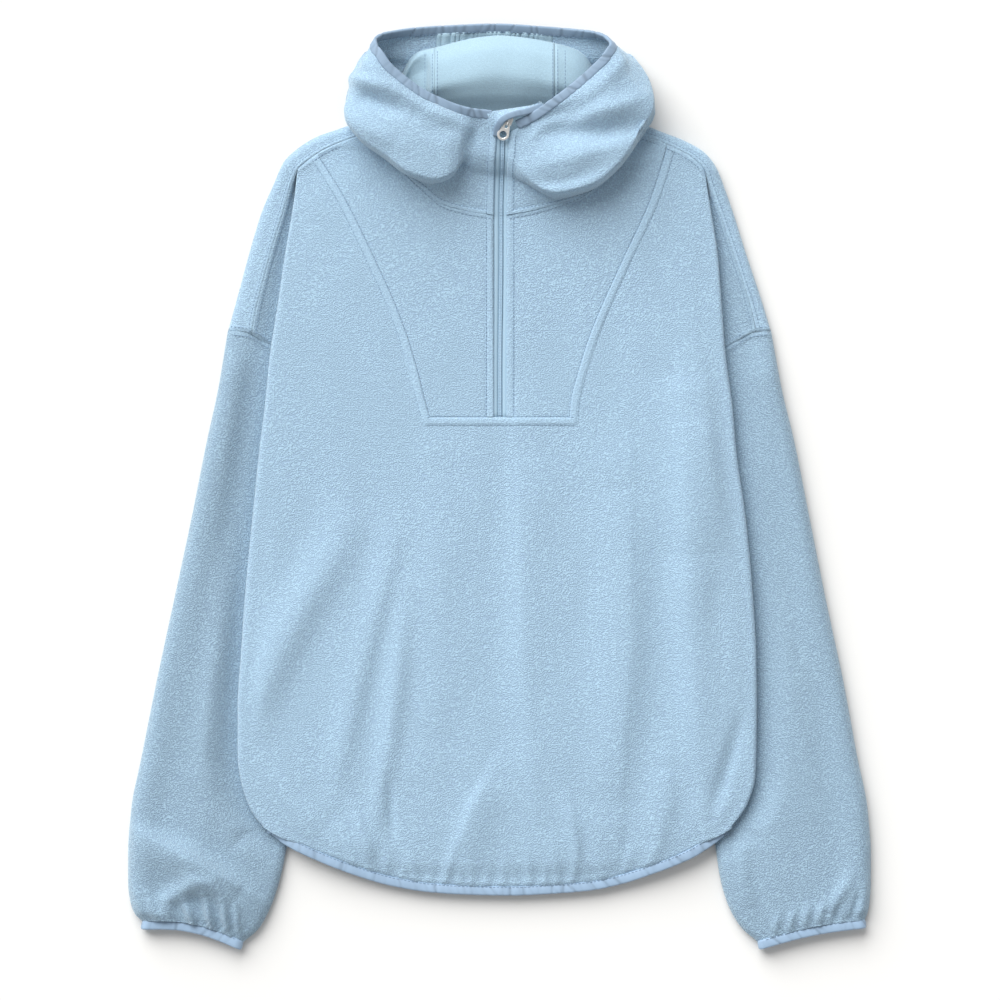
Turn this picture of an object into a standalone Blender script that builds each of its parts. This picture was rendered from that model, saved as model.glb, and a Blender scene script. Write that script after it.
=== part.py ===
"""Fleece anorak pullover with a half zip and a three-panel hood, laid flat on its back.

X runs across the garment, +Y from the hem to the hood and +Z up from the surface it lies on.
Shapes are worked out in millimetres and turned into metres when a mesh is made. A cloth piece
is a grid of points on its outer face, and Solidify gives it its wall on the inner side.
"""

import math

import bmesh
import bpy
import mathutils
import numpy as np

NAME = "fleece_pullover"
MM = 0.001
LEFT, RIGHT = -1, 1

# Driving dimensions, in millimetres.
FLEECE = 2.2  # wall of the fleece
SEAM = 0.35  # between two pieces that are sewn together
BINDING_WIDTH = 8.4  # of the folded stretch binding on every open edge
BINDING_THICK = 3.6
BINDING_LIFT = 0.05  # from the surface to the hem binding's lower side
LIE_HEIGHT = 9.0  # underside of the body where it lies on a sleeve
SLEEVE_UNDER = 8.3  # top of a sleeve where the body lies on it
SLEEVE_EDGE = 11.0  # height of a sleeve's rounded edge
SLEEVE_ROUND = 8.0  # how far in that rounding reaches
SIDE_RETURN = 22.0  # of the front, underneath past the side fold
FOLD_TOP = 284.0  # y where the side folds begin, at the shoulder seam
INSET_FOOT = 57.5  # y of the seam under the inset
NECK_BACK = 312.0  # y of the neck edge of the back
UNDERARM = 104.0  # y where the sleeve seams meet the side seams
FOLD_FOOT = 215.0  # how far out the side folds meet the hem
HEM_ENDS = (-210.0, 205.0)  # x where the hem binding turns under
HEM_TURN = 3.2  # how far past those places it reaches
BACK_SHORTER = 7.0  # how much higher the back hem lies than the front hem
ARMHOLE_GAP = 0.9  # of the sleeve seam, which is more bent
ZIP_FOOT = 60.0
ZIP_HEAD = 316.0
ZIP_HALF_GAP = 5.7  # from the middle of the zip to the fleece edge
TAPE_HALF = 8.5
TAPE_THICK = 0.8
TAPE_BELOW = 3.1  # top of the tapes under the outer face of the fleece
COIL_WIDTH = 5.0
COIL_THICK = 1.7
SLIDER = (7.6, 10.0, 1.6)
HINGE_PLACE = (6.9, 323.8)  # of the pull, in plan
HINGE_AHEAD = 2.4  # of the middle of the slider
HINGE_LIFT = 0.9  # from the slider's plate to the pull
BRIDGE_ENDS = (-4.5, 3.4)  # along the slider from its middle
BRIDGE_WIDTH = 1.5
BRIDGE_THICK = 1.0
PULL_THICK = 1.6
PULL_TURN = 22.0  # degrees that the slider and its pull are turned on the cloth
PULL_SLOPE = 10.0  # degrees that the pull hangs down along the collar
PULL_REACH = 11.2  # from the hinge to the middle of the ring
PULL_RING = (5.5, 3.1)  # outside and inside radius
PULL_EYE = (0.8, 4.9, 1.25)  # from and to along the pull, and half its width
PULL_NECK = 2.5  # half the width of the pull at its hinge


def table(columns, *rows):
    """A short table as one array for each named column."""
    return {name: np.array(values, float) for name, values in zip(columns.split(), zip(*rows))}


# The body's side folds, from hem to shoulder.
BODY_SIDE = table(
    "y left right",
    (-309, -214, 209),
    (-300, -221, 216),
    (-288, -227, 223),
    (-265, -233.5, 229.5),
    (-243, -236, 230.5),
    (-198, -236, 231),
    (-153, -233, 230.5),
    (-108, -230, 228),
    (-63, -226, 224.5),
    (-18, -221.5, 219.5),
    (27, -217, 213),
    (72, -211.5, 209),
    (117, -207, 203),
    (162, -200, 199.5),
    (207, -193.5, 196),
    (252, -186, 189),
    (284, -182, 184),
)

# The lower edge of the hem binding.
HEM = table(
    "x y",
    (-230, -299),
    (-214, -308),
    (-193, -324),
    (-171, -335),
    (-135, -349.5),
    (-99, -360.5),
    (-63, -366.5),
    (-27, -368.8),
    (9, -369.5),
    (45, -368),
    (81, -365),
    (108, -359.5),
    (135, -350.8),
    (171, -336.5),
    (189, -325.6),
    (207, -311.2),
    (224, -297),
)

# The two slanting seams of the inset in the front.
INSET_SEAM = table(
    "y left right",
    (57.5, -66, 66),
    (75, -71, 67.5),
    (101, -77.5, 74),
    (133, -87, 84),
    (167, -100, 98),
    (202, -116, 114),
    (257, -143, 139),
    (298, -168, 152),
    (306, -172, 154),
)

# Shoulder and upper arm, from the neck to the sleeve seam. The seam lies in front of the
# outer edge, because the back comes over the shoulder.
SHOULDER_LEFT = table(
    "seam_x seam_y seam_z edge_x edge_y",
    (-112, 319, 15.5, -116, 331),
    (-137, 311, 15.5, -142, 322),
    (-158, 302, 15.5, -166, 313.5),
    (-173, 292, 15.5, -184, 302),
    (-182, 284, 14.8, -195, 291),
    (-188, 270, 12.6, -204, 271),
    (-195, 246, 11.4, -214, 248),
    (-204, 217, 11.6, -224, 216),
    (-213, 184, 11.8, -233.5, 181),
    (-219, 160, 11.8, -239.5, 159),
    (-223, 139, 11.8, -245, 139),
)
SHOULDER_RIGHT = table(
    "seam_x seam_y seam_z edge_x edge_y",
    (114, 319, 15.5, 118, 330),
    (137, 312, 15.5, 144, 319),
    (158, 303, 15.5, 166, 310.5),
    (174, 294, 15.5, 184, 300),
    (184, 284, 14.8, 195, 286),
    (189, 270, 12.6, 203, 266),
    (197, 248, 11.4, 211, 243),
    (208, 216, 11.6, 221, 211),
    (218, 186, 11.8, 232, 178),
    (226, 160, 11.8, 239, 156),
    (231, 139, 11.8, 244, 139),
)
NECK_TO_INSET = {LEFT: 0.26, RIGHT: 0.18}  # share of the shoulder seam to the inset's corner
NECK_TO_FOLD = 0.4  # and to the top of the side fold

# The back's edge as it comes up over the shoulder: shares of the way in to the seam and up to it.
SHOULDER_CURL = table(
    "inward up",
    (1.7, 0),
    (0.6, 0),
    (0.2, 0.12),
    (0.0, 0.42),
    (0.1, 0.74),
    (0.42, 0.95),
    (1.0, 1.0),
)

# The sleeve seam, from the upper arm's outer edge to the underarm.
ARMHOLE = table(
    "out y",
    (120, 103),
    (140, 104),
    (175, 111),
    (200, 121.5),
    (214, 130.5),
    (228, 137.5),
    (246, 139.5),
)

# Height of the front's outer face: over the middle and at the side folds.
FRONT_HEIGHT = table(
    "y middle side",
    (-372, 12, 16),
    (-355, 12, 16),
    (-338, 15, 16.6),
    (-300, 17.5, 18),
    (-240, 19, 21),
    (-150, 19.5, 22),
    (0, 20, 21.5),
    (120, 20.5, 20.5),
    (242, 21.5, 17.5),
    (284, 20, 16),
    (320, 17, 15.6),
)

# Long soft folds of the front, each along a line with one bend. A trough's height is below 0.
FRONT_FOLD = table(
    "x1 y1 x2 y2 x3 y3 width height",
    (-146, -35, -168, -140, -209, -222, 15, -3.2),
    (-172, -54, -196, -115, -214, -150, 11, 1.6),
    (-85, -85, -104, -160, -137, -315, 13, 2.6),
    (-112, -76, -121, -175, -167, -302, 12, -2.2),
    (-68, -85, -67, -175, -78, -280, 10, 1.4),
    (-81, -108, -94, -220, -92, -326, 10, -2.6),
    (18, 40, 14, -110, 30, -335, 12, 3.0),
    (-30, -40, -28, -160, -50, -290, 19, -1.8),
    (-5, -262, -27, -292, -45, -342, 9, 2.2),
    (46, 10, 47, -130, 58, -315, 16, -1.9),
    (100, -80, 95, -130, 104, -220, 17, 1.2),
    (135, -40, 137, -180, 106, -340, 17, -3.4),
    (148, -35, 170, -200, 182, -300, 9, 2.2),
    (220, -195, 200, -225, 190, -285, 8, -2.2),
)

# Small gathers where the front runs into the hem binding.
HEM_GATHER = table(
    "x reach height",
    (-150, 30, 1.2),
    (-128, 42, 1.8),
    (-104, 36, 1.4),
    (-80, 30, 1.6),
    (-58, 48, 2.0),
    (-34, 36, 1.5),
    (-12, 30, 1.3),
    (14, 42, 1.8),
    (36, 34, 1.4),
    (60, 44, 1.9),
    (84, 32, 1.5),
    (108, 38, 1.4),
    (132, 30, 1.2),
)

# Sections of a sleeve, from the sleeve seam to the cuff binding.
SLEEVE_LEFT = table(
    "outer_x outer_y inner_x inner_y crown",
    (-245.2, 137.5, -140, 103, 12.4),
    (-254, 85, -146, 55, 14),
    (-264, 40, -151, 10, 15),
    (-278, -30, -158, -55, 15),
    (-294, -105, -166, -120, 16),
    (-309, -175, -173, -185, 17),
    (-323, -245, -180, -245, 18),
    (-332, -290, -186, -290, 20),
    (-335, -330, -192, -325, 21),
    (-335, -357, -197, -350, 20),
    (-333, -375, -205, -376, 18),
    (-329, -386, -217, -399, 16),
    (-322.5, -392.5, -231, -411.5, 14),
)
SLEEVE_RIGHT = table(
    "outer_x outer_y inner_x inner_y crown",
    (244.2, 137.5, 140, 103, 12.4),
    (254, 85, 146, 55, 14),
    (265, 40, 151, 10, 15),
    (279, -30, 158, -55, 15),
    (294, -105, 166, -120, 16),
    (309, -175, 173, -185, 17),
    (322, -245, 181, -245, 18),
    (331, -290, 188, -290, 20),
    (334, -330, 194, -325, 21),
    (334, -357, 198, -352, 20),
    (333, -375, 205, -377, 18),
    (331.5, -384, 217, -398, 16),
    (329, -391, 231.5, -411, 14),
)
CUFF_GATHERS = 6
CUFF_GATHER_HEIGHT = 2.4
CUFF_HEIGHT = 13.6
CUFF_ARCH = {LEFT: 7.0, RIGHT: 3.0}  # how far the middle of a cuff is drawn up

# Profiles of a hood side, from the zip round to the seam with the crown. Each runs from the
# free edge of the rim over the top of the roll and round its outer edge to the neck.
HOOD_COLUMNS = "rim_x rim_y rim_z top_x top_y top_z edge_x edge_y edge_z neck_x neck_y neck_z"
HOOD_LEFT = table(
    HOOD_COLUMNS,
    (-7.0, 335, 46, -3.2, 311, 41, -4.9, 285, 33, -5.7, 242.8, 21.8),
    (-27, 337, 48, -20, 313, 39, -22, 286, 31, -23, 245.3, 21.8),
    (-37, 340, 49, -28, 312, 42, -32, 292, 32, -34, 247.5, 21.8),
    (-47, 344, 50, -37, 311, 47, -41, 279, 33, -44, 250, 21.8),
    (-58, 349, 51, -47, 311, 51, -48, 273, 35, -54, 254, 21.8),
    (-68, 354, 52, -58, 311, 53, -58, 270.5, 36, -64, 262, 21.8),
    (-86, 367, 53, -80, 321, 55, -82, 279, 36, -84, 280, 21.8),
    (-98, 378, 52, -101, 339, 54, -103, 296, 33, -98, 297, 20.4),
    (-105, 388, 50, -119, 354, 50, -127, 314, 30, -110, 312, 18.4),
    (-110, 394, 47, -128, 365, 43, -139, 337, 25, -116, 336, 18.4),
    (-112, 400, 42, -123, 381, 34, -135, 361, 16, -118, 346, 2.6),
    (-107, 405, 34, -114, 394, 23, -122, 386, 8, -108, 352, 0),
    (-94, 409, 22, -97, 398, 11, -99, 380, 3, -92, 338, 0),
    (-78, 412, 14, -79, 399, 6, -79, 377, 1, -76, 334, 0),
    (-56.6, 414, 10, -57, 400, 4, -57.6, 376, 0, -58.3, 332, 0),
)
HOOD_RIGHT = table(
    HOOD_COLUMNS,
    (13.5, 326, 45, 8.2, 309, 41, 6.5, 285, 33, 5.7, 242.8, 21.8),
    (26, 332, 47.5, 24, 310, 45, 24, 276, 35, 24, 245.8, 22.0),
    (46, 345.5, 50, 50, 311, 49, 51, 266.5, 34, 46, 251.5, 21.8),
    (67, 361.5, 52, 76, 324, 52, 82, 273, 34, 74, 262, 21.4),
    (82, 375, 52, 97, 339, 53, 105, 288, 33, 94, 279, 20.8),
    (91, 384, 51, 110, 351, 51, 126, 311, 31, 106, 300, 19.0),
    (96, 391, 48, 119, 362, 45, 139, 336, 26, 116, 336, 18.4),
    (99, 396, 43, 118, 379, 35, 136, 359, 17, 118, 346, 2.6),
    (95, 403, 34, 107, 392, 23, 117, 384, 8, 108, 352, 0),
    (83, 408.5, 22, 88, 398, 11, 93, 379, 3, 90, 338, 0),
    (66, 411, 14, 68, 398, 6, 70, 376, 1, 70, 334, 0),
    (47, 413, 10, 47.4, 399, 4, 48, 375, 0, 49.3, 332, 0),
)
HOOD_CROWN = table(
    HOOD_COLUMNS,
    (-55.9, 414, 10, -56.3, 400, 4, -56.9, 376, 0, -57.6, 332, 0),
    (-5, 416, 10, -5, 401, 4, -5, 376, 0, -5, 332, 0),
    (46.3, 413, 10, 46.7, 399, 4, 47.3, 375, 0, 48.6, 332, 0),
)
NECK_ROWS = 8.15  # rows of the hood tables that the front's neck edge takes, to the shoulder
CROWN_GATHERS = 9
CROWN_GATHER_HEIGHT = 1.6

# The roll inside the hood, where its back doubles over on itself.
INNER_ROLL = table(
    "x crest_y crest_z",
    (-88, 372, 18),
    (-80, 383, 22),
    (-72, 388, 25),
    (-58.5, 391, 28),
    (-40, 396, 29),
    (-18, 400.5, 30),
    (0, 402, 30),
    (18, 400.5, 30),
    (40, 396, 29),
    (49.5, 393.5, 28),
    (67, 388, 25),
    (78, 382, 22),
    (86, 372, 18),
)
ROLL_NECK = (318.0, 7.0)  # y and z where it leaves the back of the neck
ROLL_SEAMS = (-58.5, 49.5)

# The binding of the small guard over the top of the zip.
GUARD_BINDING = table(
    "x y z",
    (-2.9, 320.9, 45.9),
    (-1.4, 325.0, 47.0),
    (3.0, 330.2, 48.4),
    (10.5, 333.6, 48.6),
    (19.5, 337.0, 46.4),
    (29, 340.5, 43.2),
)
GUARD_TOP = ((-3.2, 337.5, 46.5), (31, 347, 41.5))  # its upper edge
GUARD_WIDTH = 5.6
GUARD_GAP = 3.8  # from its binding to its cloth, along the two edges' slant

FLEECE_BLUE = (0.42, 0.60, 0.75)
BINDING_BLUE = (0.31, 0.43, 0.68)
ZIP_BLUE = (0.27, 0.41, 0.64)
SILVER = (0.78, 0.78, 0.80)


def smooth(at, xs, ys):
    """A cubic through the points (xs, ys) that never overshoots them, held level past its ends."""
    step = np.diff(xs)
    slope = np.diff(ys) / step
    product = slope[:-1] * slope[1:]
    total = slope[:-1] + slope[1:]
    inner = np.where(product > 0, 2 * product / np.where(product > 0, total, 1), 0)
    tangent = np.concatenate([slope[:1], inner, slope[-1:]])
    at = np.clip(at, xs[0], xs[-1])
    k = np.clip(np.searchsorted(xs, at, side="right") - 1, 0, len(xs) - 2)
    t = (at - xs[k]) / step[k]
    here, there = tangent[k], tangent[k + 1]
    cubic = here + t * (3 * slope[k] - 2 * here - there + t * (here + there - 2 * slope[k]))
    return ys[k] + step[k] * t * cubic


def read(columns, key, row):
    """A column of a table at any row number, smooth between rows."""
    values = columns[key]
    return smooth(np.asarray(row, float), np.arange(len(values), dtype=float), values)


def ease(t):
    """A smooth step from 0 to 1."""
    t = np.clip(t, 0, 1)
    return t * t * (3 - 2 * t)


def blend(a, b, t):
    return a + (b - a) * t


def unit(vectors):
    return vectors / np.linalg.norm(vectors, axis=-1, keepdims=True)


def spaced(points, count, start=0.0):
    """Points at equal distances along a line of points, the first one a distance start along it."""
    reach = np.concatenate([[0], np.cumsum(np.linalg.norm(np.diff(points, axis=0), axis=1))])
    at = np.linspace(start, reach[-1], count)
    return np.stack([np.interp(at, reach, axis) for axis in points.T], axis=1)


def patch(start, end, left, right, share):
    """A Coons patch in plan: rows from start to end, columns from left to right."""
    u = np.linspace(0, 1, len(start))[None, :, None]
    v = share[:, None, None]
    across = blend(left[:, None], right[:, None], u)
    down = blend(start[None], end[None], v)
    return across + down - blend(blend(start[0], start[-1], u), blend(end[0], end[-1], u), v)


def with_height(plan, height):
    return np.dstack([plan, height])


# ---- where the body's edges and faces are ----

def shoulder(side, share):
    """Seam and outer edge of the shoulder as points, at a share of the way from neck to sleeve."""
    columns = SHOULDER_LEFT if side == LEFT else SHOULDER_RIGHT
    stops = np.linspace(0, 1, len(columns["seam_x"]))
    seam = np.stack([np.interp(share, stops, columns["seam_" + axis]) for axis in "xyz"], axis=-1)
    edge = np.stack([np.interp(share, stops, columns["edge_" + axis]) for axis in "xy"], axis=-1)
    return seam, edge


def side_out(y, side):
    """How far out the side fold lies."""
    return np.abs(smooth(y, BODY_SIDE["y"], BODY_SIDE["left" if side == LEFT else "right"]))


def inset_out(y, side):
    return np.abs(smooth(y, INSET_SEAM["y"], INSET_SEAM["left" if side == LEFT else "right"]))


def hem_y(x):
    return smooth(x, HEM["x"], HEM["y"])


def armhole_y(x):
    return smooth(np.abs(x), ARMHOLE["out"], ARMHOLE["y"])


def armhole_under_y(x):
    """The sleeve seam on the underside, which runs straight."""
    out = ARMHOLE["out"]
    return np.interp(np.abs(x), (out[1], out[-1]), (ARMHOLE["y"][1], ARMHOLE["y"][-1]))


def cloth_hem_y(x, shorter=0.0):
    """Where the cloth ends above the hem binding, measured square to the hem."""
    slope = (hem_y(x + 3) - hem_y(x - 3)) / 6
    lift = shorter * ease((205 - np.abs(x)) / 60)
    return hem_y(x) + (BINDING_WIDTH + 2 * SEAM) * np.sqrt(1 + slope**2) + lift


def line_distance(x, y, ends):
    """Distance to a line with one bend, and the share of the way along it."""
    best = np.full(np.shape(x), np.inf)
    along = np.zeros(np.shape(x))
    for leg in range(2):
        (ax, ay), (bx, by) = ends[leg], ends[leg + 1]
        dx, dy = bx - ax, by - ay
        t = np.clip(((x - ax) * dx + (y - ay) * dy) / (dx * dx + dy * dy), 0, 1)
        away = np.hypot(x - ax - t * dx, y - ay - t * dy)
        along = np.where(away < best, (leg + t) / 2, along)
        best = np.minimum(best, away)
    return best, along


def folds(x, y):
    """The front's long folds: a bell across each, fading towards its two ends."""
    z = np.zeros(np.shape(x))
    for x1, y1, x2, y2, x3, y3, width, height in zip(*FRONT_FOLD.values()):
        away, along = line_distance(x, y, [(x1, y1), (x2, y2), (x3, y3)])
        fade = np.sin(math.pi * np.clip(along, 0.06, 0.94)) ** 0.6
        z = z + height * fade * np.exp(-((away / width) ** 2))
    return z


def hem_gathers(x, y):
    """Short ridges that run up from the hem binding."""
    above = y - cloth_hem_y(x)
    z = np.zeros(np.shape(x))
    for at, reach, height in zip(*HEM_GATHER.values()):
        z = z + height * np.exp(-(((x - at) / 6.5) ** 2)) * np.exp(-((above / reach) ** 2))
    return z


def front_z(x, y):
    """Height of the front's outer face."""
    side = np.where(x < 0, side_out(y, LEFT), side_out(y, RIGHT))
    out = np.abs(x)
    level = [smooth(y, FRONT_HEIGHT["y"], FRONT_HEIGHT[key]) for key in ("middle", "side")]
    z = blend(*level, np.clip(out / (side - 8), 0, 1) ** 3)
    z = z + (folds(x, y) + hem_gathers(x, y)) * (1 - ease((out - side + 34) / 24))
    seam = SHOULDER_LEFT
    below_shoulder = np.interp(out, -seam["seam_x"], seam["seam_y"]) - y
    return blend(15.5, z, ease((below_shoulder + 2) / 42))


def fold_radius(y):
    return (smooth(y, FRONT_HEIGHT["y"], FRONT_HEIGHT["side"]) - LIE_HEIGHT) / 2


def fold_start(side, y):
    """In plan, where the flat of the front turns into the side fold."""
    return np.stack([side * (side_out(y, side) - fold_radius(y)), y], axis=-1)


def side_fold(side, y):
    """Columns of the front from its flat round the side fold and a little way underneath.

    A circular arc of up to half a turn and then its tangent. Towards the shoulder the turn
    gets less, until the front runs flat into the shoulder seam.
    """
    radius = fold_radius(y)[:, None]
    turn = blend(0.35, math.pi, ease((FOLD_TOP - y) / 30))[:, None]
    tail = (0.4 + SIDE_RETURN * ease((FOLD_TOP - 22 - y) / 26))[:, None] * np.array([0.5, 1.0])
    angle = turn * np.linspace(0, 1, 6)[1:]
    out = np.hstack([radius * np.sin(angle), radius * np.sin(turn) + np.cos(turn) * tail])
    down = np.hstack([radius * (1 - np.cos(angle)), radius * (1 - np.cos(turn)) + np.sin(turn) * tail])
    start = fold_start(side, y)
    x = start[:, :1] + side * out
    z = front_z(start[:, 0], y)[:, None] - down
    return np.dstack([x, np.broadcast_to(y[:, None], x.shape), z])


def neck_line(side, count):
    """The neck seam of one side of the front, from the zip to the shoulder, in plan."""
    columns = HOOD_LEFT if side == LEFT else HOOD_RIGHT
    last = NECK_ROWS if side == LEFT else NECK_ROWS - 3
    rows = np.linspace(0, last, count)
    return np.stack([read(columns, "neck_x", rows), read(columns, "neck_y", rows)], axis=1)


def moved_out(line, distance):
    """A line in plan, moved to its right by a distance."""
    ahead = unit(np.gradient(line, axis=0))
    return line + distance * np.stack([ahead[:, 1], -ahead[:, 0]], axis=1)


def sleeve_inner(side, y):
    columns = SLEEVE_LEFT if side == LEFT else SLEEVE_RIGHT
    return np.abs(smooth(-y, -columns["inner_y"], columns["inner_x"]))


# ---- making meshes ----

def join_grids(name, grids, round_it=False):
    """One mesh from grids of points, each with True where its faces need turning round."""
    points, faces, first = [], [], 0
    for grid, flip in grids:
        rows, columns = grid.shape[:2]
        index = first + np.arange(rows * columns).reshape(rows, columns)
        if round_it:
            index = np.hstack([index, index[:, :1]])
        cells = np.stack([index[:-1, :-1], index[1:, :-1], index[1:, 1:], index[:-1, 1:]], axis=-1)
        cells = cells.reshape(-1, 4)
        points.append(grid.reshape(-1, 3) * MM)
        faces.append(cells[:, ::-1] if flip else cells)
        first += rows * columns
    mesh = bpy.data.meshes.new(name)
    mesh.from_pydata(np.concatenate(points).tolist(), [], np.concatenate(faces).tolist())
    work = bmesh.new()
    work.from_mesh(mesh)
    bmesh.ops.remove_doubles(work, verts=work.verts, dist=0.00002)
    work.to_mesh(mesh)
    work.free()
    return mesh


def finish(name, colour, roughness=0.9, metallic=0.0):
    """A plain material with a sub-part's name."""
    material = bpy.data.materials.new(name)
    material.use_nodes = True
    shader = material.node_tree.nodes["Principled BSDF"]
    shader.inputs["Base Color"].default_value = (*colour, 1)
    shader.inputs["Roughness"].default_value = roughness
    shader.inputs["Metallic"].default_value = metallic
    return material


def add_piece(name, mesh, material):
    mesh.name = name
    mesh.materials.append(material)
    mesh.shade_smooth()
    mesh.set_sharp_from_angle(angle=math.radians(50))
    piece = bpy.data.objects.new(name, mesh)
    garment.objects.link(piece)
    return piece


def add_cloth(name, grids, colour=FLEECE_BLUE, thickness=FLEECE, round_it=False):
    """A wall of cloth whose outer face is made of the given grids."""
    piece = add_piece(name, join_grids(name, grids, round_it), finish(name, colour))
    wall = piece.modifiers.new("wall", "SOLIDIFY")
    wall.thickness = thickness * MM
    wall.offset = -1
    wall.use_even_offset = True
    wall.use_quality_normals = True
    return piece


def add_band(name, centres, outward, closed=False, sides=6, width=BINDING_WIDTH, thick=BINDING_THICK,
             sink=0.0, colour=BINDING_BLUE):
    """A flat bar with rounded edges, swept along centres.

    outward is the direction of its width. The bar's section is a superellipse, and sink moves
    it square to both.
    """
    ahead = np.roll(centres, -1, 0) - np.roll(centres, 1, 0)
    if not closed:
        ahead[0], ahead[-1] = centres[1] - centres[0], centres[-1] - centres[-2]
    ahead = unit(ahead)
    outward = unit(outward - ahead * (outward * ahead).sum(1, keepdims=True))
    inner = np.cross(ahead, outward)
    turn = 2 * math.pi * (np.arange(sides) + 0.5) / sides
    across = np.sign(np.cos(turn)) * np.abs(np.cos(turn)) ** 0.5 * width / 2
    over = np.sign(np.sin(turn)) * np.abs(np.sin(turn)) ** 0.9 * thick / 2 + sink
    ring = centres[:, None] + outward[:, None] * across[:, None] + inner[:, None] * over[:, None]
    count = len(centres)
    index = np.arange(count * sides).reshape(count, sides)
    if closed:
        index = np.vstack([index, index[:1]])
    index = np.hstack([index, index[:, :1]])
    cells = np.stack([index[:-1, :-1], index[:-1, 1:], index[1:, 1:], index[1:, :-1]], axis=-1)
    faces = cells.reshape(-1, 4).tolist()
    if not closed:
        faces += [index[0, :-1][::-1].tolist(), index[-1, :-1].tolist()]
    mesh = bpy.data.meshes.new(name)
    mesh.from_pydata((ring.reshape(-1, 3) * MM).tolist(), [], faces)
    work = bmesh.new()
    work.from_mesh(mesh)
    bmesh.ops.recalc_face_normals(work, faces=work.faces)
    work.to_mesh(mesh)
    work.free()
    return add_piece(name, mesh, finish(name, colour, 0.6))


# ---- body ----

STRIP_CELLS = 7  # of the front beside the inset, across
MIDDLE_CELLS = 10
UPPER_ROWS = 10


def hem_ward(rows):
    """Shares of the way down to the hem, closer together near it."""
    t = np.linspace(0, 1, rows)
    return blend(t, 1 - (1 - t) ** 1.7, 0.8)


def front_strip(side):
    """The front between the side fold and the inset, from the inset's foot to the shoulder."""
    share = np.linspace(0, 1, UPPER_ROWS)
    y = blend(INSET_FOOT, FOLD_TOP - 1.5, share)
    outside = fold_start(side, y)
    seam, _ = shoulder(side, NECK_TO_INSET[side])
    y_in = blend(INSET_FOOT, seam[1] - 1, share)
    inside = np.stack([side * (inset_out(y_in, side) + SEAM / 2), y_in], axis=1)
    foot = np.linspace(outside[0], inside[0], STRIP_CELLS + 1)
    head = np.linspace(outside[-1], inside[-1], STRIP_CELLS + 1)
    plan = patch(foot, head, outside, inside, share)
    flat = with_height(plan, front_z(plan[..., 0], plan[..., 1]))
    return np.hstack([side_fold(side, y)[:, ::-1], flat])


def front_lower():
    """The front from the inset's foot to the hem, with both side folds."""
    share = hem_ward(16)
    y_left, y_right = (blend(INSET_FOOT, float(cloth_hem_y(np.array(side * FOLD_FOOT))), share)
                       for side in (LEFT, RIGHT))
    left, right = fold_start(LEFT, y_left), fold_start(RIGHT, y_right)
    strips = [front_strip(side)[0, -STRIP_CELLS - 1:, :2] for side in (LEFT, RIGHT)]
    middle = np.linspace(strips[0][-1], strips[1][-1], MIDDLE_CELLS + 1)[1:-1]
    top = np.vstack([strips[0], middle, strips[1][::-1]])
    x = np.linspace(left[-1, 0], right[-1, 0], len(top))
    bottom = np.stack([x, cloth_hem_y(x)], axis=1)
    bottom[0], bottom[-1] = left[-1], right[-1]
    plan = patch(top, bottom, left, right, share)
    flat = with_height(plan, front_z(plan[..., 0], plan[..., 1]))
    return np.hstack([side_fold(LEFT, y_left)[:, ::-1], flat, side_fold(RIGHT, y_right)])


def add_front():
    add_cloth("front_panel", [
        (front_lower(), False),
        (front_strip(LEFT), True),
        (front_strip(RIGHT), False),
    ])


def front_inset(side):
    """Half of the inset, from the zip to its slanting seam and from its foot to the neck."""
    neck = neck_line(side, 30)
    seam, _ = shoulder(side, np.linspace(0.02, NECK_TO_INSET[side], 8))
    edge = np.vstack([moved_out(neck, 2 * side * SEAM)[1:], moved_out(seam[:, :2], side * SEAM)])
    end = spaced(edge, 11)
    foot_y = INSET_FOOT + SEAM
    zip_x, seam_x = side * ZIP_HALF_GAP, side * (inset_out(foot_y, side) - SEAM / 2)
    start = np.linspace((zip_x, foot_y), (seam_x, foot_y), 11)
    share = np.linspace(0, 1, UPPER_ROWS)
    end[0, 0] = zip_x
    inside = np.linspace(start[0], end[0], UPPER_ROWS)
    y = blend(foot_y, end[-1, 1], share)
    outside = np.stack([side * (inset_out(y, side) - SEAM / 2), y], axis=1)
    outside[-1] = end[-1]
    plan = patch(start, end, inside, outside, share)
    return with_height(plan, front_z(plan[..., 0], plan[..., 1]))


def front_arm(side):
    """The front's drop shoulder, from the shoulder seam inwards under the side fold."""
    rows, columns = 9, 8
    share = np.linspace(0, 1, rows)
    seam, _ = shoulder(side, blend(NECK_TO_FOLD + 0.025, 1, share))
    outside = moved_out(seam[:, :2], 2 * side * SEAM)
    outside[-1, 1] = armhole_y(outside[-1, 0]) + ARMHOLE_GAP
    foot = blend(outside[-1, 0], side * 152.0, np.linspace(0, 1, columns) ** 1.3)
    foot = np.stack([foot, armhole_y(foot) + ARMHOLE_GAP], axis=1)
    head = np.linspace(outside[0], outside[0] - np.array([side * 4.0, 3.0]), columns)
    inside = np.linspace(head[-1], foot[-1], rows)
    plan = patch(head, foot, outside, inside, share)
    x, y = plan[..., 0], plan[..., 1]
    low = blend(SLEEVE_UNDER - 0.3, 11.0, ease((y - 264) / 18))
    high = np.broadcast_to(seam[:, 2:], x.shape)
    return with_height(plan, blend(low, high, ease((np.abs(x) - side_out(y, side) - 1) / 8)))


def back_hem(x):
    return cloth_hem_y(x, BACK_SHORTER) + 0.8


def side_seam_out(side, y):
    return side_out(y, side) - fold_radius(y) - SIDE_RETURN - 0.4 - SEAM


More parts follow.
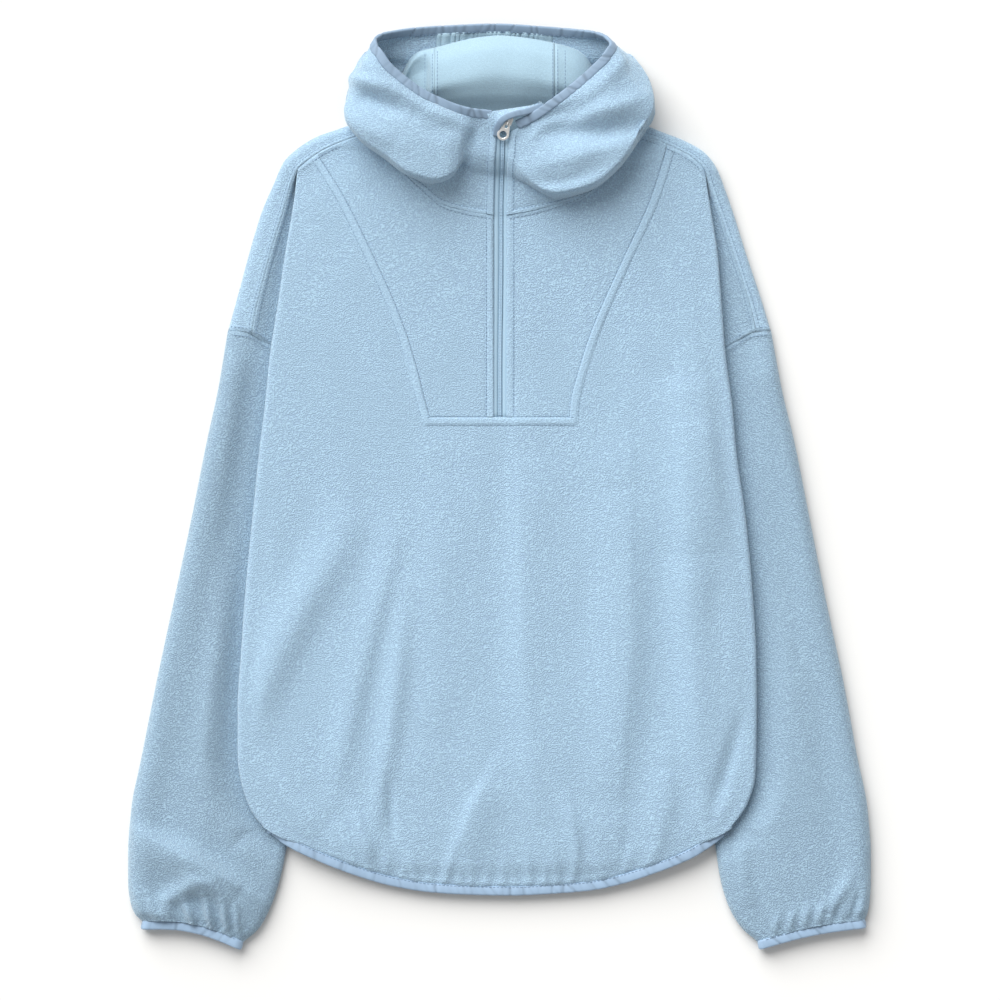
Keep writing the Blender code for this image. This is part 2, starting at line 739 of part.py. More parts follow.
def back_grids():
    """The back as three kinds of block: the middle, the margins on the sleeves, the shoulders.

    The margins and the shoulders meet the middle along one line, and each other only at the
    underarm, where the sleeve goes in between them.
    """
    rows = 11
    share = np.linspace(0, 1, rows)
    middle_cells = 8
    line = {}
    for side in (LEFT, RIGHT):
        upper = np.linspace((side * 90.0, NECK_BACK), (side * 120.0, UNDERARM), rows)
        y = blend(UNDERARM, -304.0, share)
        lower = np.stack([side * (sleeve_inner(side, y) - 20), y], axis=1)
        lower[0] = upper[-1]
        lower[-1, 1] = back_hem(lower[-1, 0])
        line[side] = upper, lower
    grids = []
    start = np.linspace(line[LEFT][0][0], line[RIGHT][0][0], middle_cells + 1)
    start[:, 1] -= 5 * (1 - (start[:, 0] / 90) ** 2)
    waist = np.linspace(line[LEFT][0][-1], line[RIGHT][0][-1], middle_cells + 1)
    plan = patch(start, waist, line[LEFT][0], line[RIGHT][0], share)
    grids.append((with_height(plan, np.zeros(plan.shape[:2])), True))
    x = np.linspace(line[LEFT][1][-1, 0], line[RIGHT][1][-1, 0], middle_cells + 1)
    hem = np.stack([x, back_hem(x)], axis=1)
    plan = patch(waist, hem, line[LEFT][1], line[RIGHT][1], share)
    grids.append((with_height(plan, np.zeros(plan.shape[:2])), True))
    for side in (LEFT, RIGHT):
        grids.append((back_margin(side, line[side][1], share), side == RIGHT))
        grids.append((back_shoulder(side, line[side][0], share), side == RIGHT))
    return grids


def over_sleeve(side, x, y):
    """0 beside a sleeve and 1 where the body lies on it."""
    return ease((np.abs(x) - sleeve_inner(side, y) + 19) / 14)


def back_margin(side, line, share):
    """The back beside the middle: up over the sleeve's inner edge and on to the side seam."""
    y_end = float(cloth_hem_y(np.array(side * 203.0)))
    y = blend(UNDERARM, y_end, share)
    seam = np.stack([side * side_seam_out(side, y), y], axis=1)
    inward = np.array([0, 0.08, 0.2, 0.34, 0.46, 0.62, 0.8, 1.0])
    plan = line[:, None] + (seam - line)[:, None] * inward[:, None]
    plan[-1, 1:-1, 1] = back_hem(plan[-1, 1:-1, 0])
    return with_height(plan, LIE_HEIGHT * over_sleeve(side, plan[..., 0], plan[..., 1]))


def back_shoulder(side, line, share):
    """The back from its middle out to the shoulder and up over it to the seam."""
    seam, edge = shoulder(side, share)
    seam = seam.copy()
    seam[-1, 1] = edge[-1, 1] = armhole_y(seam[-1, 0]) + ARMHOLE_GAP
    inward, up = SHOULDER_CURL["inward"][None, :, None], SHOULDER_CURL["up"]
    reach = np.linalg.norm(seam[:, :2] - edge, axis=1)[:, None, None]
    inward = inward - (inward == 1.0) * 1.3 * SEAM / reach  # stops short of the seam
    curl = edge[:, None] + (seam[:, None, :2] - edge[:, None]) * inward
    curl[-1, :, 1] = armhole_y(curl[-1, :, 0]) + ARMHOLE_GAP
    flat = blend(line[:, None], curl[:, :1], np.array([0, 0.35, 0.7])[None, :, None])
    flat[-1, 1:, 1] = armhole_under_y(flat[-1, 1:, 0]) + ARMHOLE_GAP
    curl[-1, :2, 1] = armhole_under_y(curl[-1, :2, 0]) + ARMHOLE_GAP
    height = np.hstack([np.zeros((len(line), 3)), seam[:, 2:] * up])
    return with_height(np.hstack([flat, curl]), height)


# ---- sleeves ----

def outside_body(x, y):
    """How far a place lies outside the body's outline, below 0 under the body."""
    side = np.where(x < 0, side_out(y, LEFT), side_out(y, RIGHT))
    return np.maximum(np.abs(x) - side, hem_y(x) - y)


def sleeve_grid(side, columns):
    """Rings of a sleeve. Flat below, rounded at both edges and crowned above.

    Where the body lies on it the top is pressed down, and it gathers into the cuff.
    """
    rows = np.linspace(0, len(columns["crown"]) - 1, 17)
    outer, inner = (np.stack([read(columns, edge + axis, rows) for axis in "xy"], axis=-1)
                    for edge in ("outer_", "inner_"))
    width = np.linalg.norm(inner - outer, axis=1)[:, None]
    angle = np.linspace(-math.pi / 2, math.pi / 2, 6)
    rounding = SLEEVE_ROUND * (1 - np.cos(angle))
    top = np.linspace(0, 1, 15)[1:-1]
    under = np.linspace(1, 0, 8)[1:-1]
    span = width - 2 * SLEEVE_ROUND
    across = np.hstack([
        np.broadcast_to(rounding, (len(rows), 6)),
        SLEEVE_ROUND + top * span,
        width - rounding[::-1],
        SLEEVE_ROUND + under * span,
    ])
    part = np.concatenate([(1 + np.sin(angle)) / 2, np.ones(13), (1 - np.sin(angle)) / 2, np.zeros(6)])
    share = across / width
    plan = outer[:, None] + (inner - outer)[:, None] * share[..., None]
    fade = ease(1 - rows / 2.5)[:, None]
    seam_y = np.where(part > 0, armhole_y(plan[..., 0]), armhole_under_y(plan[..., 0]))
    plan[..., 1] += (seam_y - plan[..., 1]) * fade
    arch = CUFF_ARCH[side] * np.sin(math.pi * share) * ease(1 - (rows[-1] - rows) / 2)[:, None]
    plan[..., 1] += arch
    crown = read(columns, "crown", rows)[:, None]
    middle = np.sin(math.pi * np.clip(share, 0, 1)) ** 0.8
    height = SLEEVE_EDGE + (crown - SLEEVE_EDGE) * middle
    near_cuff = np.exp(-(((rows - rows[-1]) / 2.2) ** 2))[:, None]
    wave = 0.5 - 0.5 * np.cos(2 * math.pi * CUFF_GATHERS * (share + 0.03 * np.sin(9 * share)))
    height = height + CUFF_GATHER_HEIGHT * wave * near_cuff * middle
    height = blend(SLEEVE_UNDER, height, ease((outside_body(plan[..., 0], plan[..., 1]) - 10) / 26))
    return with_height(plan, height * part)


def cuff_ring(side, columns):
    """Middle line of a cuff binding: a flat ring past the end of the sleeve."""
    outer, inner = (np.array([columns[edge + axis][-1] for axis in "xy"]) for edge in ("outer_", "inner_"))
    across = unit(inner - outer)
    ahead = np.array([-across[1], across[0]]) * side
    centre = (outer + inner) / 2 + ahead * (BINDING_WIDTH / 2 + 2 * SEAM)
    radius = (CUFF_HEIGHT - BINDING_THICK) / 2
    straight = np.linalg.norm(inner - outer) / 2 - radius - BINDING_THICK / 2
    arc = np.linspace(-math.pi / 2, math.pi / 2, 6)
    run = np.linspace(straight, -straight, 9)[1:-1]
    u = np.concatenate([straight + radius * np.cos(arc), run, -straight - radius * np.cos(arc), -run])
    flat = np.full(len(run), radius)
    v = np.concatenate([radius * np.sin(arc), flat, -radius * np.sin(arc), -flat])
    ring = centre + across * u[:, None]
    middle = np.clip(0.5 + u / np.linalg.norm(inner - outer), 0, 1)
    ring[:, 1] += CUFF_ARCH[side] * np.sin(math.pi * middle)
    outward = np.broadcast_to(np.array([*ahead, 0.0]), (len(u), 3))
    return np.column_stack([ring, v + CUFF_HEIGHT / 2]), outward


def add_sleeves():
    for side, word, columns in ((LEFT, "left", SLEEVE_LEFT), (RIGHT, "right", SLEEVE_RIGHT)):
        add_cloth("sleeve_" + word, [(sleeve_grid(side, columns), side == RIGHT)], round_it=True)
        ring, outward = cuff_ring(side, columns)
        add_band("binding_cuff_" + word, ring, outward, closed=True)


# ---- hood ----

def hood_profiles(columns, count):
    """Profiles of a hood panel as dense lines through their rim, top, edge and neck points."""
    rows = np.linspace(0, len(columns["rim_x"]) - 1, count)
    marks = np.array([[read(columns, mark + axis, rows) for axis in "xyz"]
                      for mark in ("rim_", "top_", "edge_", "neck_")])
    stops = np.arange(4.0)
    at = np.linspace(0, 3, 31)
    return np.array([[smooth(at, stops, marks[:, axis, k]) for axis in range(3)]
                     for k in range(count)]).transpose(0, 2, 1)


def rim_frames(profiles):
    """At each profile's free edge, the way square to the rim in the cloth, and 1 over its slant."""
    along = unit(np.gradient(profiles[:, 0], axis=0))
    down = unit(profiles[:, 3] - profiles[:, 0])
    square = down - along * (down * along).sum(1, keepdims=True)
    return unit(square), 1 / np.maximum(np.linalg.norm(square, axis=1), 0.5)


def hood_panel(columns, count, rows):
    """The cloth of a hood panel, from its binding to the neck."""
    profiles = hood_profiles(columns, count)
    _, slant = rim_frames(profiles)
    starts = (BINDING_WIDTH + 2 * SEAM) * slant
    return np.array([spaced(profile, rows, start) for profile, start in zip(profiles, starts)])


def crown_panel():
    grid = hood_panel(HOOD_CROWN, 28, 6)
    share = np.linspace(0, 1, 28)[:, None]
    below = np.linspace(0, 1, 6)[None]
    wave = np.sin(math.pi * CROWN_GATHERS * share) ** 2
    grid[..., 2] += CROWN_GATHER_HEIGHT * wave * np.exp(-((below / 0.25) ** 2))
    return grid


def rim_line():
    """Middle line of the hood's binding and the way to its free edge, from the zip round to the zip."""
    lines = [hood_profiles(HOOD_LEFT, 22), hood_profiles(HOOD_CROWN, 8), hood_profiles(HOOD_RIGHT, 22)[::-1]]
    profiles = np.concatenate(lines)
    square, _ = rim_frames(profiles)
    return profiles[:, 0] + square * BINDING_WIDTH / 2, -square


def inner_roll(first, last, count, rows=9):
    """The visible face of the roll inside the hood between two places across.

    Each profile rises from the back of the neck to its crest and turns down behind it.
    """
    x = np.linspace(first, last, count)
    crest_y, crest_z = (smooth(x, INNER_ROLL["x"], INNER_ROLL[key]) for key in ("crest_y", "crest_z"))
    neck_y, neck_z = ROLL_NECK
    run, rise = crest_y - neck_y, crest_z - neck_z
    y = np.array([neck_y + 0 * x, neck_y + 0.38 * run, neck_y + 0.72 * run, crest_y - 9, crest_y - 1.5,
                  crest_y, crest_y - 3, crest_y - 11])
    z = np.array([neck_z + 0 * x, neck_z + 0.38 * rise, neck_z + 0.82 * rise, crest_z, crest_z - 3,
                  crest_z - 8, crest_z - 13, crest_z - 16])
    z = np.maximum(z, 5.0)
    stops = np.arange(8.0)
    at = np.linspace(0, 7, 50)
    lines = [np.stack([at * 0 + x[k], smooth(at, stops, y[:, k]), smooth(at, stops, z[:, k])], axis=1)
             for k in range(count)]
    return np.array([spaced(line, rows) for line in lines])


def zip_x(y):
    """The zip bends to the right towards its top."""
    return 2.6 * ease((y - 245) / 70) + 3.4 * ease((y - 306) / 20)


def zip_z(y):
    """Height of the fleece's outer face along the zip."""
    profile = hood_profiles(HOOD_LEFT, 2)[0][::-1]
    return np.where(y < profile[0, 1], front_z(0 * y, y), np.interp(y, profile[:, 1], profile[:, 2]))


def guard_line():
    """Middle line of the guard's binding, from beside the slider up behind the right rim."""
    share = np.linspace(0, 1, 12)
    return np.stack([read(GUARD_BINDING, axis, share * 5) for axis in "xyz"], axis=1)


def zip_guard():
    """The small fleece flap over the top of the zip, between the two ends of the rim."""
    lower = guard_line()
    lower = lower + np.array([-1.0, 1.0, 0]) * (GUARD_WIDTH / 2 + GUARD_GAP) / math.sqrt(2)
    upper = np.linspace(*GUARD_TOP, 12)
    share = np.linspace(0, 1, 4)[:, None, None]
    return blend(lower[None], upper[None], share)


def add_hood():
    add_cloth("hood_side_left", [(hood_panel(HOOD_LEFT, 24, 9), False)])
    add_cloth("hood_side_right", [(hood_panel(HOOD_RIGHT, 22, 9), True)])
    add_cloth("hood_crown", [(crown_panel(), False)])
    centres, outward = rim_line()
    add_band("binding_hood", centres, outward, sink=FLEECE / 2)
    gap = SEAM / 2
    add_cloth("hood_fold_left", [(inner_roll(-88, ROLL_SEAMS[0] - gap, 6), False)])
    add_cloth("hood_fold_centre", [(inner_roll(ROLL_SEAMS[0] + gap, ROLL_SEAMS[1] - gap, 9), False)])
    add_cloth("hood_fold_right", [(inner_roll(ROLL_SEAMS[1] + gap, 86, 6), False)])
    add_cloth("zip_guard", [(zip_guard(), True)])
    line = guard_line()
    outward = np.gradient(line, axis=0)[:, [1, 0, 2]] * np.array([1.0, -1.0, 0])
    add_band("binding_guard", line, outward, width=GUARD_WIDTH, thick=2.8)


# ---- bindings, zip and pull ----

def hem_loop():
    """Middle line of the hem binding: along the front, round a side fold, along the back."""
    x = np.linspace(*HEM_ENDS, 32)
    half = BINDING_WIDTH / 2
    slope = (hem_y(x + 3) - hem_y(x - 3)) / 6
    square = unit(np.stack([slope, -np.ones(32)], axis=1))
    front = np.stack([x, hem_y(x)], axis=1) - square * half
    edge_z = smooth(cloth_hem_y(x), FRONT_HEIGHT["y"], FRONT_HEIGHT["middle"])
    side_z = smooth(cloth_hem_y(x), FRONT_HEIGHT["y"], FRONT_HEIGHT["side"])
    front_height = blend(edge_z, side_z, np.clip(np.abs(x) / 207, 0, 1) ** 3) - BINDING_THICK / 2
    back = front[1:-1][::-1]
    back = back + np.outer(BACK_SHORTER * ease((205 - np.abs(x[1:-1][::-1])) / 60), (0, 1))
    raised = [over_sleeve(side, *back.T) for side in (LEFT, RIGHT)]
    resting = BINDING_THICK / 2 + BINDING_LIFT
    back_height = LIE_HEIGHT * np.where(back[:, 0] < 0, *raised) + resting
    corner = []
    for k, side in ((-1, RIGHT), (0, LEFT)):
        height = blend(front_height[k], LIE_HEIGHT + resting, 0.5)
        corner.append([front[k, 0] + side * HEM_TURN, front[k, 1], height])
    loop = np.vstack([
        np.column_stack([front, front_height]),
        corner[0],
        np.column_stack([back, back_height]),
        corner[1],
    ])
    outward = np.vstack([square, square[-1:], square[1:-1][::-1], square[:1]])
    return loop, np.column_stack([outward, np.zeros(len(outward))])


def add_zip():
    y = np.linspace(ZIP_FOOT, ZIP_HEAD, 22)
    for side, word in ((LEFT, "left"), (RIGHT, "right")):
        out = np.array([0.25, TAPE_HALF]) * side
        grid = np.dstack([zip_x(y)[:, None] + out, np.broadcast_to(y[:, None], (22, 2)),
                          np.broadcast_to(zip_z(y)[:, None] - TAPE_BELOW, (22, 2))])
        add_cloth("zip_tape_" + word, [(grid, side == RIGHT)], ZIP_BLUE, TAPE_THICK)
    y = np.linspace(ZIP_FOOT + 4, ZIP_HEAD - 7, 22)
    lift = COIL_THICK / 2 + SEAM
    centres = np.column_stack([zip_x(y), y, zip_z(y) - TAPE_BELOW + lift])
    outward = np.broadcast_to(np.array([1.0, 0, 0]), centres.shape)
    add_band("zip_coil", centres, outward, width=COIL_WIDTH, thick=COIL_THICK, colour=ZIP_BLUE)
    add_slider()


def outline_mesh(name, outlines, thick):
    """A plate with holes from closed outlines in its plane, as a welded mesh."""
    curve = bpy.data.curves.new(name, "CURVE")
    curve.dimensions = "2D"
    curve.fill_mode = "BOTH"
    curve.extrude = thick / 2 * MM
    for outline in outlines:
        spline = curve.splines.new("POLY")
        spline.points.add(len(outline) - 1)
        spline.use_cyclic_u = True
        for point, (x, y) in zip(spline.points, outline):
            point.co = (x * MM, y * MM, 0, 1)
    drawn = bpy.data.objects.new(name + "_outline", curve)
    bpy.context.scene.collection.objects.link(drawn)
    mesh = bpy.data.meshes.new_from_object(drawn.evaluated_get(bpy.context.evaluated_depsgraph_get()))
    bpy.data.objects.remove(drawn, do_unlink=True)
    work = bmesh.new()
    work.from_mesh(mesh)
    bmesh.ops.remove_doubles(work, verts=work.verts, dist=0.00001)
    bmesh.ops.recalc_face_normals(work, faces=work.faces)
    work.to_mesh(mesh)
    work.free()
    return mesh


def pull_outlines():
    """A teardrop round a ring and an eye: two straight sides touch the ring's circle."""
    outer, inner = PULL_RING
    eye_from, eye_to, eye_half = PULL_EYE
    lean = math.asin((outer - PULL_NECK) / PULL_REACH)
    arc = np.linspace(lean, -math.pi - lean, 22)
    drop = np.stack([outer * np.cos(arc), outer * np.sin(arc) - PULL_REACH], axis=1).tolist()
    drop += [(-PULL_NECK, -0.2), (-PULL_NECK + 0.6, 0.8), (PULL_NECK - 0.6, 0.8), (PULL_NECK, -0.2)]
    round_arc = np.linspace(0, 2 * math.pi, 17)[:-1]
    ring = np.stack([inner * np.cos(round_arc), inner * np.sin(round_arc) - PULL_REACH], axis=1)
    eye = [(-eye_half, -eye_from), (-eye_half, -eye_to), (eye_half, -eye_to), (eye_half, -eye_from)]
    return [drop, ring.tolist(), eye]


def add_slider():
    """The slider's top plate, its bridge, and the pull whose origin is on the hinge."""
    turn = math.radians(-PULL_TURN)
    ahead = np.array([math.sin(-turn), math.cos(-turn)])
    x, y = np.array(HINGE_PLACE) + ahead * HINGE_AHEAD
    coil_top = float(zip_z(np.array(y))) - TAPE_BELOW + SEAM + COIL_THICK
    plate_z = coil_top + SEAM + SLIDER[2] / 2
    metal = finish("zip_slider", SILVER, 0.3, 1.0)
    bpy.ops.mesh.primitive_cube_add(size=MM)
    plate = bpy.context.object
    plate.data.transform(mathutils.Matrix.Diagonal((*SLIDER, 1)))
    plate.data.materials.append(metal)
    plate.name = plate.data.name = "zip_slider"
    for collection in list(plate.users_collection):
        collection.objects.unlink(plate)
    garment.objects.link(plate)
    plate.location = (x * MM, y * MM, plate_z * MM)
    plate.rotation_euler = (0, 0, turn)
    edges = plate.modifiers.new("edges", "BEVEL")
    edges.width = 0.5 * MM
    edges.segments = 2
    top = plate_z + SLIDER[2] / 2
    hinge_z = top + HINGE_LIFT + PULL_THICK / 2
    crown_z = hinge_z + math.hypot(PULL_THICK / 2, PULL_EYE[0]) + SEAM + BRIDGE_THICK / 2
    foot_z = top + SEAM
    front, back = BRIDGE_ENDS
    profile = ((front, foot_z), (front, crown_z - 0.9), (front + 0.7, crown_z),
               (back - 0.9, crown_z), (back, crown_z - 0.9), (back, foot_z))
    line = np.array([[x + ahead[0] * run, y + ahead[1] * run, z] for run, z in profile])
    outward = np.broadcast_to(np.array([ahead[1], -ahead[0], 0.0]), line.shape)
    add_band("zip_bridge", line, outward, width=BRIDGE_WIDTH, thick=BRIDGE_THICK, colour=SILVER)
    pull = add_piece("zip_pull", outline_mesh("zip_pull", pull_outlines(), PULL_THICK),
                     finish("zip_pull", SILVER, 0.25, 1.0))
    pull.location = (HINGE_PLACE[0] * MM, HINGE_PLACE[1] * MM, hinge_z * MM)
    pull.rotation_euler = (math.radians(PULL_SLOPE), 0, turn)


for old in list(bpy.data.objects):
    bpy.data.objects.remove(old, do_unlink=True)
garment = bpy.data.collections.new(NAME)
bpy.context.scene.collection.children.link(garment)

add_front()
for side_sign, side_word in ((LEFT, "left"), (RIGHT, "right")):
    add_cloth("front_inset_" + side_word, [(front_inset(side_sign), side_sign == RIGHT)])
    add_cloth("front_arm_" + side_word, [(front_arm(side_sign), side_sign == RIGHT)])
add_cloth("back_panel", back_grids())
add_sleeves()
add_hood()
loop_line, loop_outward = hem_loop()
add_band("binding_hem", loop_line, loop_outward, closed=True)
add_zip()
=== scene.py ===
"""The looks of a fleece anorak pullover that lies flat on its back.

X runs across the garment, +Y from the hem to the hood and +Z up from the floor. Shapes are
worked out in millimetres and turned into metres when a mesh is made.
"""

import math

import bmesh
import bpy
import numpy as np
from bpy.props import FloatProperty, FloatVectorProperty, IntProperty, PointerProperty
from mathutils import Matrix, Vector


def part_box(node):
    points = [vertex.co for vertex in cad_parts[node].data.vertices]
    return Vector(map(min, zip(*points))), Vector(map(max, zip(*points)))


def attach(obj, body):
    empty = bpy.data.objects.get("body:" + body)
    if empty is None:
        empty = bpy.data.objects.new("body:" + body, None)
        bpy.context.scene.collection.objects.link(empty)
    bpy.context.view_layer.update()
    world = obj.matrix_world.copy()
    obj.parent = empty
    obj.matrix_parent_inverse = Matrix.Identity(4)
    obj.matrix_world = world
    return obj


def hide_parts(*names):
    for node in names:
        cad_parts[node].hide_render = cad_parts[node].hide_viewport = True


bl_info = {
    "name": "Fleece pullover",
    "version": (1, 0, 0),
    "blender": (4, 5, 0),
    "location": "3D View > Sidebar > Pullover",
    "description": "Sews a hooded half-zip fleece pullover, piece by piece, round its solids",
    "category": "Add Mesh",
}

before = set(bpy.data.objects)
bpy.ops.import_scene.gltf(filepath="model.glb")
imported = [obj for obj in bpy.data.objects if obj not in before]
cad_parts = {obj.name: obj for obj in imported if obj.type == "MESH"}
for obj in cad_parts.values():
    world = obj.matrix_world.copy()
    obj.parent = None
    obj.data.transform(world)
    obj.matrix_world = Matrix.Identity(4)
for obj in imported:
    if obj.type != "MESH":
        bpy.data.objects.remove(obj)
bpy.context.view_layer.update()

MM = 0.001
FAR = 99.0  # a distance at which a seam has no effect
LEFT, RIGHT = -1, 1
WORDS = {LEFT: "left", RIGHT: "right"}

# Sizes in millimetres that follow the solids and stay as they are.
BINDING_WIDTH = 8.4
BINDING_THICK = 3.6
LIE_HEIGHT = 9.0  # underside of the body where it lies on a sleeve
SLEEVE_UNDER = 8.3
SLEEVE_EDGE = 11.0
SLEEVE_ROUND = 8.0
SIDE_RETURN = 22.0
FOLD_TOP = 284.0
INSET_FOOT = 57.5
INSET_HALF_FOOT = 66.0
INSET_LEAN = 0.93  # cosine of the angle of the inset's slanting seams
NECK_BACK = 312.0
UNDERARM = 104.0
HEM_ENDS = (-207.0, 203.0)
HEM_CORNER = 210.0  # how far out the cloth covers the whole binding
HEM_TURN = 2.0
BACK_SHORTER = 7.0
ZIP_FOOT = 52.0
ZIP_HEAD = 316.0
ZIP_HALF_GAP = 5.7
TAPE_BELOW = 0.7
HINGE_PLACE = (6.9, 323.8, 46.8147)
PULL_TURN = 22.0
PULL_SLOPE = 10.0
PULL_REACH = 11.2
PULL_RING = (5.5, 3.1)
PULL_EYE = (0.8, 4.9, 1.25)
PULL_NECK = 2.5
SEAM_ROW = 3.7  # from a seam to each of its two rows of stitches
PLACKET_ROW = 6.6  # from the zip's edge to the row of stitches beside it
FOOT_EDGE = INSET_FOOT + SEAM_ROW  # the front laps over the inset as far as the seam's inner row


def table(columns, *rows):
    """A short table as one array for each named column."""
    return {name: np.array(values, float) for name, values in zip(columns.split(), zip(*rows))}


# The body's side folds, from hem to shoulder.
BODY_SIDE = table(
    "y left right",
    (-309, -214, 209),
    (-300, -221, 216),
    (-288, -227, 223),
    (-265, -233.5, 229.5),
    (-243, -236, 230.5),
    (-198, -236, 231),
    (-153, -233, 230.5),
    (-108, -230, 228),
    (-63, -226, 224.5),
    (-18, -221.5, 219.5),
    (27, -217, 213),
    (72, -211.5, 209),
    (117, -207, 203),
    (162, -200, 199.5),
    (207, -193.5, 196),
    (252, -186, 189),
    (284, -182, 184),
)

# The lower edge of the hem binding.
HEM = table(
    "x y",
    (-230, -299),
    (-214, -308),
    (-193, -324),
    (-171, -335),
    (-135, -349.5),
    (-99, -360.5),
    (-63, -366.5),
    (-27, -368.8),
    (9, -369.5),
    (45, -368),
    (81, -365),
    (108, -359.5),
    (135, -350.8),
    (171, -336.5),
    (189, -325.6),
    (207, -311.2),
    (224, -297),
)

# The two slanting seams of the inset in the front.
INSET_SEAM = table(
    "y left right",
    (57.5, -66, 66),
    (75, -71, 67.5),
    (101, -77.5, 74),
    (133, -87, 84),
    (167, -100, 98),
    (202, -116, 114),
    (257, -143, 139),
    (298, -168, 152),
    (306, -172, 154),
)

# Shoulder and upper arm, from the neck to the sleeve seam.
SHOULDER_COLUMNS = "seam_x seam_y seam_z edge_x edge_y"
SHOULDER = {
    LEFT: table(
        SHOULDER_COLUMNS,
        (-112, 319, 15.5, -116, 331),
        (-137, 311, 15.5, -142, 322),
        (-158, 302, 15.5, -166, 313.5),
        (-173, 292, 15.5, -184, 302),
        (-182, 284, 14.8, -195, 291),
        (-188, 270, 12.6, -204, 271),
        (-195, 246, 11.4, -214, 248),
        (-204, 217, 11.6, -224, 216),
        (-213, 184, 11.8, -233.5, 181),
        (-219, 160, 11.8, -239.5, 159),
        (-223, 139, 11.8, -245, 139),
    ),
    RIGHT: table(
        SHOULDER_COLUMNS,
        (114, 319, 15.5, 118, 330),
        (137, 312, 15.5, 144, 319),
        (158, 303, 15.5, 166, 310.5),
        (174, 294, 15.5, 184, 300),
        (184, 284, 14.8, 195, 286),
        (189, 270, 12.6, 203, 266),
        (197, 248, 11.4, 211, 243),
        (208, 216, 11.6, 221, 211),
        (218, 186, 11.8, 232, 178),
        (226, 160, 11.8, 239, 156),
        (231, 139, 11.8, 244, 139),
    ),
}
NECK_TO_INSET = {LEFT: 0.238, RIGHT: 0.163}
NECK_TO_FOLD = 0.4

# The back's edge as it comes up over the shoulder: shares of the way in and up.
SHOULDER_CURL = table(
    "inward up",
    (1.7, 0),
    (0.6, 0),
    (0.2, 0.12),
    (0.0, 0.42),
    (0.1, 0.74),
    (0.42, 0.95),
    (1.0, 1.0),
)

# The sleeve seam, from the upper arm's outer edge to the underarm.
ARMHOLE = table(
    "out y",
    (120, 103),
    (140, 104),
    (175, 111),
    (200, 121.5),
    (214, 130.5),
    (228, 137.5),
    (246, 139.5),
)

# Height of the front's outer face: over the middle and at the side folds.
FRONT_HEIGHT = table(
    "y middle side",
    (-372, 12, 16),
    (-355, 12, 16),
    (-338, 15, 16.6),
    (-300, 17.5, 18),
    (-240, 19, 21),
    (-150, 19.5, 22),
    (0, 20, 21.5),
    (120, 20.5, 20.5),
    (242, 21.5, 17.5),
    (284, 20, 16),
    (320, 17, 15.6),
)

# Folds along lines with one bend, each line listed from its upper end. A fold spreads so far to
# the -X side, left, and to the +X side, right. A trough's height is below 0.
FOLD_COLUMNS = "x1 y1 x2 y2 x3 y3 left right height"
FRONT_FOLD = table(
    FOLD_COLUMNS,
    (-138, -40, -183, -121, -225, -212, 20, 17, 5.0),
    (-96, -50, -118, -140, -152, -285, 15, 10, 3.2),
    (-84, -95, -96, -205, -115, -322, 10, 10, 3.2),
    (-52, 25, -58, -120, -60, -240, 24, 30, 2.8),
    (22, 50, 24, -150, 40, -325, 15, 32, 4.4),
    (108, 10, 115, -139, 98, -300, 32, 17, 5.4),
    (168, 80, 171, -103, 187, -290, 15, 28, 6.0),
    (176, 110, 182, 10, 182, -70, 55, 30, 4.0),
    (214, 0, 219, -110, 224, -230, 10, 14, 2.4),
    (226, -190, 207, -245, 190, -300, 7, 7, -3.4),
    (-4, -258, -25, -292, -38, -338, 7, 22, 3.0),
    (-205, -250, -190, -285, -160, -318, 14, 12, 1.8),
    (-100, -262, -98, -290, -96, -318, 5, 4, -2.0),
    (-132, -290, -124, -312, -112, -342, 8, 5, 2.6),
    (148, -250, 150, -285, 140, -325, 16, 10, 2.4),
    (60, -285, 66, -305, 70, -345, 8, 5, 2.2),
)

# Short ridges that run up from the hem binding, leaning by so much at their upper ends.
HEM_GATHER = table(
    "x reach width height lean",
    (-150, 26, 7, 1.0, 4),
    (-131, 34, 5, 1.5, -12),
    (-116, 22, 4, 1.1, -5),
    (-103, 26, 4, 1.3, 2.0),
    (-88, 18, 4, 1.0, 4),
    (-76, 22, 3.5, 1.3, -3),
    (-64, 14, 3.5, 1.0, 3),
    (-51, 36, 5, 1.8, 9),
    (-37, 18, 3.5, 1.2, 2.0),
    (-25, 22, 3.5, 1.4, -3),
    (-13, 16, 3.5, 1.1, 3),
    (2, 24, 4, 1.6, 2.0),
    (14, 18, 3.5, 1.3, -3),
    (27, 30, 4.5, 1.7, -2),
    (40, 20, 3.5, 1.3, 2.0),
    (52, 26, 4, 1.5, -3),
    (65, 30, 4.5, 1.5, 4),
    (79, 18, 4, 1.1, -4),
    (94, 24, 4.5, 1.2, -10),
    (112, 20, 5, 1.0, 6),
    (134, 24, 6, 0.9, 8),
)

